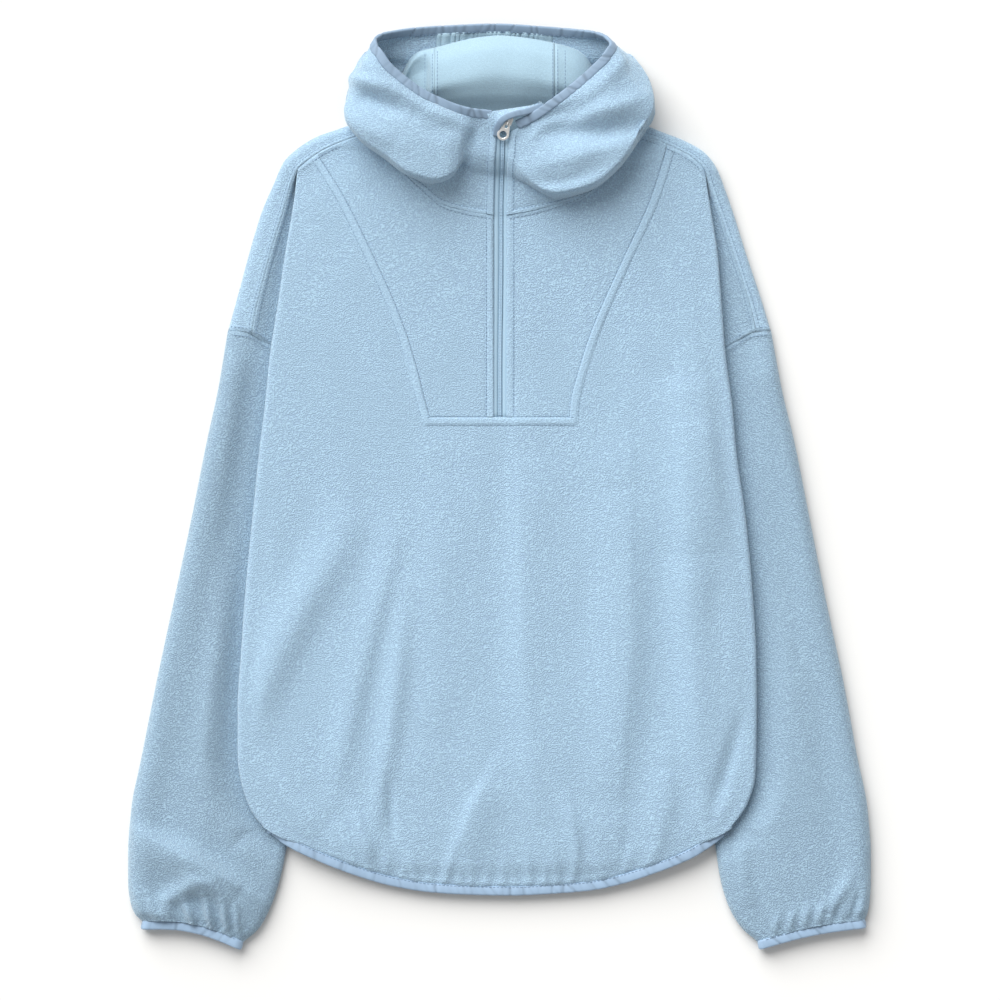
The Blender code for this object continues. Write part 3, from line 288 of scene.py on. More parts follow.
# Sections of a sleeve, from the sleeve seam to the cuff binding.
SLEEVE_COLUMNS = "outer_x outer_y inner_x inner_y crown"
SLEEVE = {
    LEFT: table(
        SLEEVE_COLUMNS,
        (-245.2, 137.5, -140, 103, 12.4),
        (-254, 85, -146, 55, 14),
        (-264, 40, -151, 10, 15),
        (-278, -30, -158, -55, 15),
        (-294, -105, -166, -120, 16),
        (-309, -175, -173, -185, 17),
        (-323, -245, -180, -245, 17.5),
        (-332, -290, -186, -290, 18),
        (-335, -330, -192, -325, 17.5),
        (-335, -357, -197, -350, 17),
        (-333, -375, -205, -376, 16.2),
        (-329, -386, -217, -399, 15.2),
        (-322.5, -392.5, -231, -411.5, 14),
    ),
    RIGHT: table(
        SLEEVE_COLUMNS,
        (244.2, 137.5, 140, 103, 12.4),
        (254, 85, 146, 55, 14),
        (265, 40, 151, 10, 15),
        (279, -30, 158, -55, 15),
        (294, -105, 166, -120, 16),
        (309, -175, 173, -185, 17),
        (322, -245, 181, -245, 17.5),
        (331, -290, 188, -290, 18),
        (334, -330, 194, -325, 17.5),
        (334, -357, 198, -352, 17),
        (333, -375, 205, -377, 16.2),
        (331.5, -384, 217, -398, 15.2),
        (329, -391, 231.5, -411, 14),
    ),
}
CUFF_HEIGHT = 13.6
CUFF_ARCH = {LEFT: 7.0, RIGHT: 3.0}

# Folds of the sleeves. Round the left cuff one long fold runs across, over an arch of gathers.
SLEEVE_FOLD = {
    LEFT: table(
        FOLD_COLUMNS,
        (-346, -306, -282, -335, -228, -369, 24, 10, 10.5),
        (-301, -398, -300, -374, -274, -358, 8, 8, 4.6),
        (-290, -362, -260, -359, -236, -390, 11, 8, 3.2),
        (-284, -370, -268, -373, -252, -377, 8, 8, -1.6),
        (-284, -374, -279, -386, -275, -399, 3.5, 3.5, 4.6),
        (-266, -368, -262, -386, -258, -402, 3.5, 4, 5.0),
        (-250, -374, -247, -390, -244, -406, 3.5, 3.5, 4.4),
        (-318, -368, -312, -382, -306, -394, 5, 4, 3.4),
        (-331, -358, -326, -372, -320, -390, 4, 4, 2.6),
        (-238, -378, -236, -395, -233, -409, 3, 3, 3.2),
        (-214, 110, -232, 20, -250, -70, 12, 14, -1.6),
        (-236, -60, -249, -150, -268, -260, 13, 18, 3.6),
        (-281, -60, -292, -150, -306, -240, 10, 12, -2.0),
    ),
    RIGHT: table(
        FOLD_COLUMNS,
        (217, -330, 219, -356, 226, -384, 8, 7, 2.6),
        (316, -350, 305, -370, 298, -388, 6, 6, 3.4),
        (324, -366, 320, -378, 315, -392, 3, 3, -3.2),
        (331, -352, 328, -370, 325, -389, 4, 4, 2.6),
        (306, -374, 303, -384, 301, -394, 3, 3, -2.2),
        (292, -374, 288, -385, 287, -396, 3.5, 3.5, 2.6),
        (278, -378, 275, -388, 274, -399, 3.5, 3.5, 2.2),
        (264, -382, 262, -392, 261, -403, 3.5, 3.5, 2.2),
        (250, -386, 248, -396, 247, -407, 3.5, 3.5, 1.8),
        (230, 80, 250, -40, 272, -150, 12, 12, -1.2),
        (250, -120, 266, -200, 280, -290, 14, 12, 1.4),
    ),
}
CUFF_GATHERS = 17
CUFF_GATHER_HEIGHT = 1.1

# Profiles of a hood side, from the zip round to the seam with the crown. Each runs from the
# free edge of the rim over the top of the roll and round its outer edge to the neck.
HOOD_COLUMNS = "rim_x rim_y rim_z top_x top_y top_z edge_x edge_y edge_z neck_x neck_y neck_z"
HOOD = {
    LEFT: table(
        HOOD_COLUMNS,
        (-7.0, 335, 46, -3.2, 311, 41, -4.9, 285, 33, -5.7, 242.8, 21.8),
        (-27, 337, 48, -20, 313, 39.5, -22, 286, 31, -23, 245.3, 21.8),
        (-37, 340, 48, -28, 312, 44, -32, 290, 33, -34, 247.5, 21.8),
        (-47, 344, 48.5, -37, 311, 49.5, -41, 278, 34, -44, 250, 21.8),
        (-58, 349, 49, -47, 311, 53, -48, 273, 35, -54, 254, 21.8),
        (-68, 354, 50, -58, 311, 54.5, -58, 270.5, 36, -64, 262, 21.8),
        (-86, 367, 51, -80, 321, 56, -82, 277, 36, -84, 280, 21.8),
        (-98, 378, 51, -101, 339, 55, -103, 292, 33, -98, 297, 20.4),
        (-105, 388, 50, -119, 354, 51, -127, 311, 30, -110, 312, 18.4),
        (-110, 394, 47, -128, 365, 43, -139, 337, 25, -116, 336, 18.4),
        (-112, 400, 42, -123, 381, 34, -135, 361, 16, -118, 346, 2.6),
        (-107, 405, 34, -114, 394, 23, -122, 386, 8, -108, 352, 0),
        (-94, 409, 22, -97, 398, 11, -99, 380, 3, -92, 338, 0),
        (-78, 412, 14, -79, 399, 6, -79, 377, 1, -76, 334, 0),
        (-56.6, 414, 10, -57, 400, 4, -57.6, 376, 0, -58.3, 332, 0),
    ),
    RIGHT: table(
        HOOD_COLUMNS,
        (13.5, 326, 45, 8.2, 309, 41, 6.5, 285, 33, 5.7, 242.8, 21.8),
        (26, 332, 47.5, 24, 310, 45, 24, 270, 33, 24, 245.8, 22.0),
        (46, 345.5, 49, 50, 311, 50, 50, 258, 31, 46, 251.5, 21.8),
        (67, 361.5, 50, 76, 324, 54, 80, 264, 32, 74, 262, 21.4),
        (82, 375, 50, 97, 339, 55, 105, 282, 32, 94, 279, 20.8),
        (91, 384, 51, 110, 351, 51, 126, 311, 31, 106, 300, 19.0),
        (96, 391, 48, 119, 362, 45, 139, 336, 26, 116, 336, 18.4),
        (99, 396, 43, 118, 379, 35, 136, 359, 17, 118, 346, 2.6),
        (95, 403, 34, 107, 392, 23, 117, 384, 8, 108, 352, 0),
        (83, 408.5, 22, 88, 398, 11, 93, 379, 3, 90, 338, 0),
        (66, 411, 14, 68, 398, 6, 70, 376, 1, 70, 334, 0),
        (47, 413, 10, 47.4, 399, 4, 48, 375, 0, 49.3, 332, 0),
    ),
}
HOOD_CROWN = table(
    HOOD_COLUMNS,
    (-56.4, 414, 10, -56.8, 400, 4, -57.4, 376, 0, -58.1, 332, 0),
    (-5, 416, 10, -5, 401, 4, -5, 376, 0, -5, 332, 0),
    (46.8, 413, 10, 47.2, 399, 4, 47.8, 375, 0, 49.1, 332, 0),
)
CROWN_CELLS = (110, 30)
NECK_ROWS = 8.15
RIM_PUFF = 2.4  # how far the cloth swells beside the rim's binding

# Folds of the hood's outer face.
HOOD_FOLD = table(
    FOLD_COLUMNS,
    (-132, 349, -112, 343.5, -78, 330, 8, 8, -5.6),
    (-142, 368, -118, 360, -96, 350, 6, 6, 3.0),
    (-142, 332, -117, 317, -92, 304, 8, 10, 3.0),
    (-21, 322, -26, 306, -30, 288, 6, 5, -2.4),
    (26, 317, 92, 314.5, 140, 325, 10, 10, -6.2),
    (38, 330, 60, 333.5, 82, 341, 8, 9, -4.6),
    (72, 334, 102, 337, 130, 348, 8, 8, 2.8),
    (26, 284, 64, 292, 110, 308, 8, 10, 2.2),
    (24, 270, 60, 271, 92, 284, 5, 6, -1.6),
    (-30, 324, -52, 316, -80, 322, 9, 8, -1.6),
)

# The roll inside the hood, where its back doubles over on itself, and its folds.
INNER_ROLL = table(
    "x crest_y crest_z",
    (-88, 372, 18),
    (-80, 386, 22),
    (-72, 391, 25),
    (-58.5, 394, 28),
    (-40, 399, 29),
    (-18, 403.5, 30),
    (0, 405, 30),
    (18, 403.5, 30),
    (40, 400, 29),
    (49.5, 398, 28),
    (67, 393, 25),
    (78, 386, 22),
    (86, 372, 18),
)
ROLL_FOLD = table(
    FOLD_COLUMNS,
    (-90, 362, -84, 382, -66, 392, 5, 5, 2.6),
)
# The roll's profile: shares of the way from the neck up, then steps from its top.
ROLL_RISE = table("along up", (0, 0), (0.24, 0.47), (0.4, 0.86))
ROLL_CREST = table("y z", (-36, 2), (-16, -2.5), (-5, -10), (0, -15), (-7, -18))
ROLL_SAG = 11.0  # how far the roll's left end hangs below the rest
ROLL_NECK = (318.0, 7.0)
ROLL_SEAMS = (-58.5, 49.5)

# A tape's section, from the coil to its edge: how far out and how far down.
TAPE = table(
    "out drop",
    (0.15, 1.3),
    (1.2, 1.3),
    (1.75, 1.9),
    (2.3, 0.7),
    (3.1, 0.1),
    (4.8, 0.1),
    (5.7, 0.2),
    (8.5, 1.8),
)

# The slider's plate, half as wide and half as long as it is, and the bridge over it: how far
# along the zip and how far below its crown.
SLIDER_HALF = (3.7, 4.9)
BRIDGE = table(
    "run drop",
    (-4.5, 0.9),
    (-4.35, 0.3),
    (-3.8, 0),
    (0, -0.02),
    (2.5, 0),
    (3.3, 0.3),
    (3.4, 0.9),
)

# The floor and the camera, in metres but for the sensor.
FLOOR_HALF = 4.0
VIEW_MIDDLE = (0.0, -0.0133, 0.012)
SENSOR = 36.0

# The binding of the small guard over the top of the zip.
GUARD_BINDING = table(
    "x y z",
    (-3.6, 312.5, 42.0),
    (-2.6, 319.0, 45.5),
    (0.8, 325.0, 49.2),
    (6.5, 329.0, 51.0),
    (13.5, 331.4, 50.6),
    (21.4, 333.2, 49.2),
    (29, 335.6, 46.6),
    (38, 339.5, 44.5),
)
GUARD_TOP = ((-12.0, 333.5, 46.5), (39, 341.5, 43.0))
GUARD_WIDTH = 5.6
GUARD_THICK = 2.8


# ---- the sizes and colours that a user may change ----

def length(name, description, default, low=0.0, high=1.0):
    return FloatProperty(name=name, description=description, default=default, min=low, max=high,
                         subtype="DISTANCE", unit="LENGTH", precision=5)


def angle(name, description, degrees, low, high):
    default, low, high = map(math.radians, (degrees, low, high))
    return FloatProperty(name=name, description=description, default=default, min=low, max=high,
                         subtype="ANGLE", unit="ROTATION")


def colour(name, description, default):
    return FloatVectorProperty(name=name, description=description, default=default, size=3,
                               min=0, max=1, subtype="COLOR")


class PulloverCloth(bpy.types.PropertyGroup):
    """Sizes of the fleece, its bindings and its stitches."""

    fleece_thickness: length("Fleece", "Thickness of the fleece", 0.0022, 0.001, 0.003)
    cell: length("Mesh cell", "Size of the cloth's faces", 0.0027, 0.002, 0.02)
    pile_size: length("Pile", "Size of the clumps in the fleece's pile", 0.0012, 0.0005, 0.01)
    pile_depth: length("Pile depth", "Height of those clumps", 0.0006, 0, 0.003)
    fold_depth: FloatProperty(name="Fold depth", description="How deep the soft folds are",
                              default=1.3, min=0, max=3, subtype="FACTOR")
    seam_rise: length("Seam rise", "How far a seam stands out of the cloth", 0.0009, 0, 0.002)
    stitch_length: length("Stitch", "Length of one stitch", 0.0026, 0.001, 0.006)
    stitch_gap: length("Stitch gap", "Between two stitches of a row", 0.0009, 0.0002, 0.003)
    thread: length("Thread", "Thickness of the sewing thread", 0.0005, 0.0001, 0.001)
    pucker: length("Pucker", "Depth of the creases in the stretch bindings", 0.0011, 0, 0.002)


class PulloverZip(bpy.types.PropertyGroup):
    """Sizes of the zip."""

    tape_half: length("Tape", "Half the width of the two tapes", 0.0085, 0.004, 0.02)
    tape_thickness: length("Tape thickness", "Thickness of a tape", 0.0008, 0.0004, 0.002)
    pitch: length("Tooth pitch", "From one turn of the coil to the next", 0.00135, 0.0008, 0.004)
    tooth_width: length("Tooth width", "Width of one half of the coil", 0.0017, 0.001, 0.004)
    tooth_height: length("Tooth height", "Height of the coil", 0.0017, 0.0008, 0.003)
    pull_thickness: length("Pull", "Thickness of the ring pull", 0.0016, 0.0008, 0.003)


class PulloverColours(bpy.types.PropertyGroup):
    """Colours of the garment."""

    fleece: colour("Fleece", "The tips of the pile", (0.418, 0.602, 0.745))
    fleece_deep: colour("Fleece, deep", "Between the clumps of the pile", (0.290, 0.405, 0.555))
    lining: colour("Lining side", "The smoother inner face of the fleece", (0.388, 0.555, 0.662))
    binding: colour("Binding", "Stretch binding", (0.319, 0.453, 0.614))
    thread: colour("Thread", "Sewing thread", (0.230, 0.340, 0.480))
    zip_tape: colour("Zip tape", "Woven tapes of the zip", (0.390, 0.570, 0.710))
    zip_coil: colour("Zip coil", "Coil of the zip", (0.400, 0.580, 0.740))
    metal: colour("Metal", "Slider and pull", (0.92, 0.92, 0.90))


class PulloverStage(bpy.types.PropertyGroup):
    """Floor, light and camera."""

    floor: colour("Floor", "Colour of the floor", (0.81, 0.805, 0.79))
    key: FloatProperty(name="Key light", description="Strength of the large soft light",
                       default=4.4, min=0, max=20)
    key_height: angle("Key height", "How high the key light stands", 36, 0, 90)
    key_round: angle("Key turn", "How far left of the hood it stands", 28, -180, 180)
    key_spread: angle("Key spread", "How wide it looks from the garment", 58, 0, 175)
    sky: FloatProperty(name="Fill", description="Strength of the light from all round",
                       default=0.46, min=0, max=5)
    camera_height: length("Camera height", "From the garment up to the camera", 5.0, 1, 20)
    frame_width: length("Frame", "How much the picture takes in", 0.9, 0.1, 5)
    crease_seed: IntProperty(name="Crease seed", description="Changes where small creases fall",
                             default=7, min=0, max=1000)


def sizes():
    return bpy.context.scene.pullover_cloth


def mm(value):
    return value / MM


# ---- curves and grids ----

def smooth(at, xs, ys):
    """A cubic through the points (xs, ys) that never overshoots them, held level past its ends."""
    step = np.diff(xs)
    slope = np.diff(ys) / step
    product = slope[:-1] * slope[1:]
    total = slope[:-1] + slope[1:]
    inner = np.where(product > 0, 2 * product / np.where(product > 0, total, 1), 0)
    tangent = np.concatenate([slope[:1], inner, slope[-1:]])
    at = np.clip(at, xs[0], xs[-1])
    k = np.clip(np.searchsorted(xs, at, side="right") - 1, 0, len(xs) - 2)
    t = (at - xs[k]) / step[k]
    here, there = tangent[k], tangent[k + 1]
    cubic = here + t * (3 * slope[k] - 2 * here - there + t * (here + there - 2 * slope[k]))
    return ys[k] + step[k] * t * cubic


def read(columns, key, row):
    """A column of a table at any row number, smooth between rows."""
    values = columns[key]
    return smooth(np.asarray(row, float), np.arange(len(values), dtype=float), values)


def ease(t):
    """A smooth step from 0 to 1: 3 t squared less 2 t cubed."""
    t = np.clip(t, 0, 1)
    return t * t * (3 - 2 * t)


def blend(a, b, t):
    return a + (b - a) * t


def bell(t):
    """A bell curve: e to the power of minus t squared."""
    return np.exp(-t * t)


def unit(vectors):
    return vectors / np.maximum(np.linalg.norm(vectors, axis=-1, keepdims=True), 1e-9)


def lengths_along(points):
    """Distance along a line of points at each of them."""
    return np.concatenate([[0], np.cumsum(np.linalg.norm(np.diff(points[:, :3], axis=0), axis=1))])


def points_at(points, reach, at):
    """Points at distances along a line of points, where reach is how far along each of its own
    points lies."""
    return np.stack([np.interp(at, reach, axis) for axis in points.T], axis=1)


def spaced(points, share, start=0.0):
    """Points along a line of points at shares of its length past a distance start."""
    reach = lengths_along(points)
    return points_at(points, reach, blend(start, reach[-1], share))


def square_to(vectors, way):
    """What is left of vectors once their part along unit vectors is taken away."""
    return vectors - way * (vectors * way).sum(1, keepdims=True)


def patch(start, end, left, right, share, across=None):
    """A Coons patch in plan: the straight blend between two opposite edges plus that between the
    other two, less the straight blend of the corners. Rows go from start to end."""
    u = np.linspace(0, 1, len(start)) if across is None else across
    u = u[None, :, None]
    v = share[:, None, None]
    over = blend(left[:, None], right[:, None], u)
    down = blend(start[None], end[None], v)
    return over + down - blend(blend(start[0], start[-1], u), blend(end[0], end[-1], u), v)


def with_height(plan, height, away=None):
    """A grid from a plan and its heights, raised along its seams. Its fourth number says how
    much the pile is pressed flat there: 1 between a seam's rows of stitches and 0 elsewhere."""
    if away is None:
        return np.dstack([plan, height, 0 * height])
    return np.dstack([plan, height + seam_relief(away), seam_band(away)])


def closer_at_ends(count, amount=0.6):
    """Shares from 0 to 1 that lie closer together towards both ends, as a cosine does."""
    t = np.linspace(0, 1, count)
    return blend(t, 0.5 - 0.5 * np.cos(math.pi * t), amount)


def closer_at_end(count, amount=0.6):
    """Shares from 0 to 1 that lie closer together towards 1."""
    t = np.linspace(0, 1, count)
    return blend(t, 1 - (1 - t) ** 1.7, amount)


def grid_normals(grid):
    """Unit normals of a grid: the cross product of the way down and the way across."""
    down = np.gradient(grid[..., :3], axis=0)
    across = np.gradient(grid[..., :3], axis=1)
    return unit(np.cross(across, down))


def cells(distance):
    """How many faces of cloth go into a distance in millimetres."""
    return max(4, int(round(distance / mm(sizes().cell))))


def ripple(x, y, seed, long_wave, short_wave, lean=0.0):
    """Faint uneven waves: a sum of eight sines whose directions and lengths are spread out.

    They are longer along Y than along X by the ratio of the two wavelengths.
    """
    draw = np.random.default_rng(seed)
    z = np.zeros(np.shape(x))
    for k in range(8):
        turn = draw.uniform(-1, 1)
        wave_x = (0.6 + draw.random()) / short_wave
        wave_y = (turn + lean) / long_wave
        z = z + np.sin(2 * math.pi * (x * wave_x + y * wave_y) + draw.uniform(0, 6.28))
    return z / 8


def line_distance(x, y, ends):
    """Distance to a line with one bend, and the share of the way along it."""
    best = np.full(np.shape(x), np.inf)
    along = np.zeros(np.shape(x))
    for leg in range(2):
        (ax, ay), (bx, by) = ends[leg], ends[leg + 1]
        dx, dy = bx - ax, by - ay
        t = np.clip(((x - ax) * dx + (y - ay) * dy) / (dx * dx + dy * dy), 0, 1)
        away = np.hypot(x - ax - t * dx, y - ay - t * dy)
        along = np.where(away < best, (leg + t) / 2, along)
        best = np.minimum(best, away)
    return best, along


def folds(x, y, lines):
    """Long folds: each a bell across its line, which fades as a sine towards its two ends."""
    z = np.zeros(np.shape(x))
    for x1, y1, x2, y2, x3, y3, left, right, height in zip(*lines.values()):
        away, along = line_distance(x, y, [(x1, y1), (x2, y2), (x3, y3)])
        turn = (x3 - x1) * (y - y2) - (y3 - y1) * (x - x2)
        spread = blend(left, right, ease(0.5 + turn / math.hypot(x3 - x1, y3 - y1) / 6))
        fade = np.sin(math.pi * np.clip(along, 0.05, 0.95)) ** 0.6
        z = z + height * fade * bell(away / spread)
    return z * sizes().fold_depth


def seam_band(away):
    """1 between a seam's two rows of stitches and 0 beyond them, by the distance to its middle."""
    return 1 - ease((np.abs(away) - SEAM_ROW + 0.6) / 1.8)


def seam_relief(away):
    """Height of a flat-felled seam over the cloth: level between its two rows of stitches,
    with a narrow channel under each row."""
    rise = mm(sizes().seam_rise)
    return rise * (seam_band(away) - 0.9 * bell((np.abs(away) - SEAM_ROW) / 0.8))


def nearest(*distances):
    """The least of several distances to seams."""
    return np.min(np.abs(np.broadcast_arrays(*distances)), axis=0)


# ---- where the body's edges and faces are ----

def shoulder(side, share):
    """Seam and outer edge of the shoulder as points, at a share of the way from neck to sleeve."""
    columns = SHOULDER[side]
    row = np.asarray(share) * (len(columns["seam_x"]) - 1)
    seam = np.stack([read(columns, "seam_" + axis, row) for axis in "xyz"], axis=-1)
    edge = np.stack([read(columns, "edge_" + axis, row) for axis in "xy"], axis=-1)
    return seam, edge


def side_out(y, side):
    """How far out the side fold lies."""
    return np.abs(smooth(y, BODY_SIDE["y"], BODY_SIDE[WORDS[side]]))


def inset_out(y, side):
    return np.abs(smooth(y, INSET_SEAM["y"], INSET_SEAM[WORDS[side]]))


def inset_edge(y, side):
    """How far out the inset shows before the front laps over it."""
    return inset_out(y, side) - SEAM_ROW / INSET_LEAN


def hem_y(x):
    return smooth(x, HEM["x"], HEM["y"])


def armhole_y(x):
    return smooth(np.abs(x), ARMHOLE["out"], ARMHOLE["y"])


def armhole_under_y(x):
    """The sleeve seam on the underside, which runs straight."""
    out = ARMHOLE["out"]
    return np.interp(np.abs(x), (out[1], out[-1]), (ARMHOLE["y"][1], ARMHOLE["y"][-1]))


def cloth_hem_y(x, shorter=0.0):
    """Where the cloth goes into the hem binding, measured square to the hem.

    Towards the body's corners it reaches down over the binding.
    """
    slope = (hem_y(x + 3) - hem_y(x - 3)) / 6
    lift = shorter * ease((205 - np.abs(x)) / 60)
    above = (BINDING_WIDTH - 1.0) * blend(0.15, 1, hem_shows(x))
    return hem_y(x) + above * np.sqrt(1 + slope**2) + lift


def hem_shows(x):
    """How much of the hem binding shows: 0 at the body's corners and 1 from 34 mm inside them."""
    return ease((HEM_CORNER - np.abs(x)) / 34)


def hem_fold(side):
    """How high the side fold starts at the hem, found by going between the two lines in turn."""
    y = -305.0
    for _ in range(24):
        y = float(cloth_hem_y(side * (side_out(y, side) - fold_radius(y))))
    return y


def hem_gathers(x, y):
    """Short ridges that run up from the hem binding: bells across and fading bells upwards."""
    above = np.maximum(y - cloth_hem_y(x), 0)
    z = np.zeros(np.shape(x))
    for at, reach, width, height, lean in zip(*HEM_GATHER.values()):
        middle = at + lean * above / reach
        fade = bell(above / reach) * (0.35 + 0.65 * ease(above / 5))
        z = z + height * bell((x - middle) / width) * fade
    return z - (0.6 * bell((above - 4) / 9) + 0.7 * bell(above / 1.6)) * hem_shows(x)


def inset_away(x, y):
    """Distance to the inset's nearest seam: a slanting one or its foot."""
    side = np.where(x < 0, inset_out(y, LEFT), inset_out(y, RIGHT))
    out = np.abs(x)
    slanting = np.where(y > INSET_FOOT, (out - side) * INSET_LEAN,
                        np.hypot(out - INSET_HALF_FOOT, y - INSET_FOOT))
    foot = np.where(out < INSET_HALF_FOOT, y - INSET_FOOT, FAR)
    return nearest(slanting, foot)


def inset_relief(x, y):
    return seam_relief(inset_away(x, y))


def front_z(x, y):
    """Height of the front's outer face: its two level curves, folds, gathers and seams."""
    side = np.where(x < 0, side_out(y, LEFT), side_out(y, RIGHT))
    out = np.abs(x)
    level = [smooth(y, FRONT_HEIGHT["y"], FRONT_HEIGHT[key]) for key in ("middle", "side")]
    z = blend(*level, np.clip(out / (side - 8), 0, 1) ** 3)
    relief = folds(x, y, FRONT_FOLD) + 1.5 * hem_gathers(x, y)
    relief = relief + ripple(x, y, 3, 420, 46) * 1.1 * ease((90 - y) / 160)
    relief = relief + ripple(x, y, 4, 90, 70) * 0.5
    z = z + relief * (1 - ease((out - side + 26) / 20))
    seam = SHOULDER[LEFT]
    below_shoulder = np.interp(out, -seam["seam_x"], seam["seam_y"]) - y
    seam_z = np.interp(out, -seam["seam_x"], seam["seam_z"])
    return blend(seam_z, z, ease((below_shoulder + 2) / 42))


def fold_radius(y):
    """Radius of the side fold, which closes to nothing where it starts at the shoulder seam."""
    taper = 1 - (1 - np.clip((FOLD_TOP - y) / 46, 0, 1)) ** 2
    return (smooth(y, FRONT_HEIGHT["y"], FRONT_HEIGHT["side"]) - LIE_HEIGHT) / 2 * taper + 0.05


def seam_out(y, side):
    """How far out the shoulder seam lies below the top of the side fold."""
    seam = SHOULDER[side]
    return np.interp(y, seam["seam_y"][::-1], np.abs(seam["seam_x"])[::-1])


def fold_start(side, y):
    """In plan, where the flat of the front turns into the side fold."""
    return np.stack([side * (side_out(y, side) - fold_radius(y)), y], axis=-1)


def side_fold(side, y, share=None):
    """Columns of the front from its flat round the side fold and a little way underneath.

    A squared arc, its sine and cosine to the power 0.65, of up to half a turn and then its tangent.
    Towards the shoulder the turn gets less. With share, the last row follows the hem's slant.
    """
    radius = fold_radius(y)[:, None]
    turn = blend(0.35, math.pi, ease((FOLD_TOP - y) / 30))[:, None]
    tail = (0.4 + SIDE_RETURN * ease((FOLD_TOP - 22 - y) / 26))[:, None] * np.linspace(0, 1, 7)[1:]
    angle = turn * np.linspace(0, 1, 15)[1:]
    across, up = (np.sign(v) * np.abs(v) ** 0.65 for v in (np.sin(angle), np.cos(angle)))
    out = np.hstack([radius * across, radius * across[:, -1:] + np.cos(turn) * tail])
    down = np.hstack([radius * (1 - up), radius * (1 - up[:, -1:]) + np.sin(turn) * tail])
    start = fold_start(side, y)
    x = start[:, :1] + side * out
    z = front_z(start[:, 0], y)[:, None] - down
    rows = np.broadcast_to(y[:, None], x.shape)
    if share is not None:
        slant = cloth_hem_y(x[-1]) - cloth_hem_y(start[-1, 0])
        rows = rows + share[:, None] ** 6 * slant
    return with_height(np.dstack([x, rows]), z)


def neck_line(side, count):
    """The neck seam of one side of the front, from the zip to the shoulder, in plan."""
    rows = np.linspace(0, NECK_ROWS - 0.3 if side == LEFT else NECK_ROWS - 3.2, count)
    return np.stack([read(HOOD[side], "neck_x", rows), read(HOOD[side], "neck_y", rows)], axis=1)


def sleeve_inner(side, y):
    columns = SLEEVE[side]
    return np.abs(smooth(-y, -columns["inner_y"], columns["inner_x"]))


# ---- making meshes ----

def quads_of(index):
    """The faces between neighbouring rows and columns of point numbers."""
    corners = [index[:-1, :-1], index[1:, :-1], index[1:, 1:], index[:-1, 1:]]
    return np.stack(corners, axis=-1).reshape(-1, 4)


def mend(mesh, weld=0.0, outward=True):
    """Joins a mesh's points that lie closer than weld, in metres, and turns its faces outward."""
    work = bmesh.new()
    work.from_mesh(mesh)
    if weld:
        bmesh.ops.remove_doubles(work, verts=work.verts, dist=weld)
    if outward:
        bmesh.ops.recalc_face_normals(work, faces=work.faces)
    work.to_mesh(mesh)
    work.free()


def new_mesh(name, points, faces, flat=None):
    """A mesh from points in millimetres, with how flat or how creased it is at each of them, which
    a material shows as paler pile or as painted shade in a crease.
    """
    mesh = bpy.data.meshes.new(name)
    mesh.from_pydata((points * MM).tolist(), [], faces)
    if flat is not None:
        mesh.attributes.new("pressed", "FLOAT", "POINT").data.foreach_set("value", flat)
    return mesh


def join_grids(name, grids, round_it=False):
    """One mesh from grids of points, each with True where its faces need turning round."""
    points, faces, flat, first = [], [], [], 0
    for grid, flip in grids:
        rows, columns = grid.shape[:2]
        index = first + np.arange(rows * columns).reshape(rows, columns)
        if round_it:
            index = np.hstack([index, index[:, :1]])
        quads = quads_of(index)
        points.append(grid[..., :3].reshape(-1, 3))
        flat.append(grid[..., 3].ravel() if grid.shape[2] > 3 else np.zeros(rows * columns))
        faces.append(quads[:, ::-1] if flip else quads)
        first += rows * columns
    points, faces, flat = map(np.concatenate, (points, faces, flat))
    mesh = new_mesh(name, points, faces.tolist(), flat)
    if len(grids) > 1:
        mend(mesh, weld=0.00002, outward=False)
    return mesh


def sew(name, mesh, material, slot, *nodes, body="garment"):
    """Puts a mesh into the scene as a piece that rides with a body and stands for its solids."""
    mesh.materials.append(material)
    mesh.shade_smooth()
    piece = bpy.data.objects.new(name, mesh)
    bpy.context.scene.collection.objects.link(piece)
    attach(piece, body)
    if nodes:
        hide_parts(*nodes)
    return piece


def wall(piece, thickness):
    """Gives a sheet its thickness on the inner side."""
    shell = piece.modifiers.new("wall", "SOLIDIFY")
    shell.thickness = thickness
    shell.offset = -1
    shell.use_quality_normals = True


def cloth(name, grids, *nodes, material=None, thickness=None, round_it=False):
    """A piece of fleece from grids on its outer face, in place of its solids."""
    piece = sew(name, join_grids(name, grids, round_it), material or fleece(), "fleece", *nodes)
    wall(piece, thickness or sizes().fleece_thickness)
    return piece


def frames_along(centres, outward, closed):
    """The way ahead, outward and up at each point of a line."""
    ahead = np.roll(centres, -1, 0) - np.roll(centres, 1, 0)
    if not closed:
        ahead[0], ahead[-1] = centres[1] - centres[0], centres[-1] - centres[-2]
    ahead = unit(ahead)
    outward = unit(square_to(outward, ahead))
    return ahead, outward, np.cross(ahead, outward)


def creases(run, across, total, seed, spacing=7.0):
    """Small slanting creases along a binding: bells at uneven places, deeper or shallower."""
    draw = np.random.default_rng(seed)
    count = max(2, int(total / spacing))
    place = (np.arange(count) + draw.uniform(-0.4, 0.4, count)) * total / count
    depth = draw.uniform(0.15, 1.0, count) ** 1.6
    width = draw.uniform(0.8, 1.8, count)
    slant = draw.uniform(-0.3, 0.9, count)
    away = run[:, None, None] - place - slant * across[:, None]
    away = (away + total / 2) % total - total / 2
    return (depth * bell(away / width)).sum(-1)


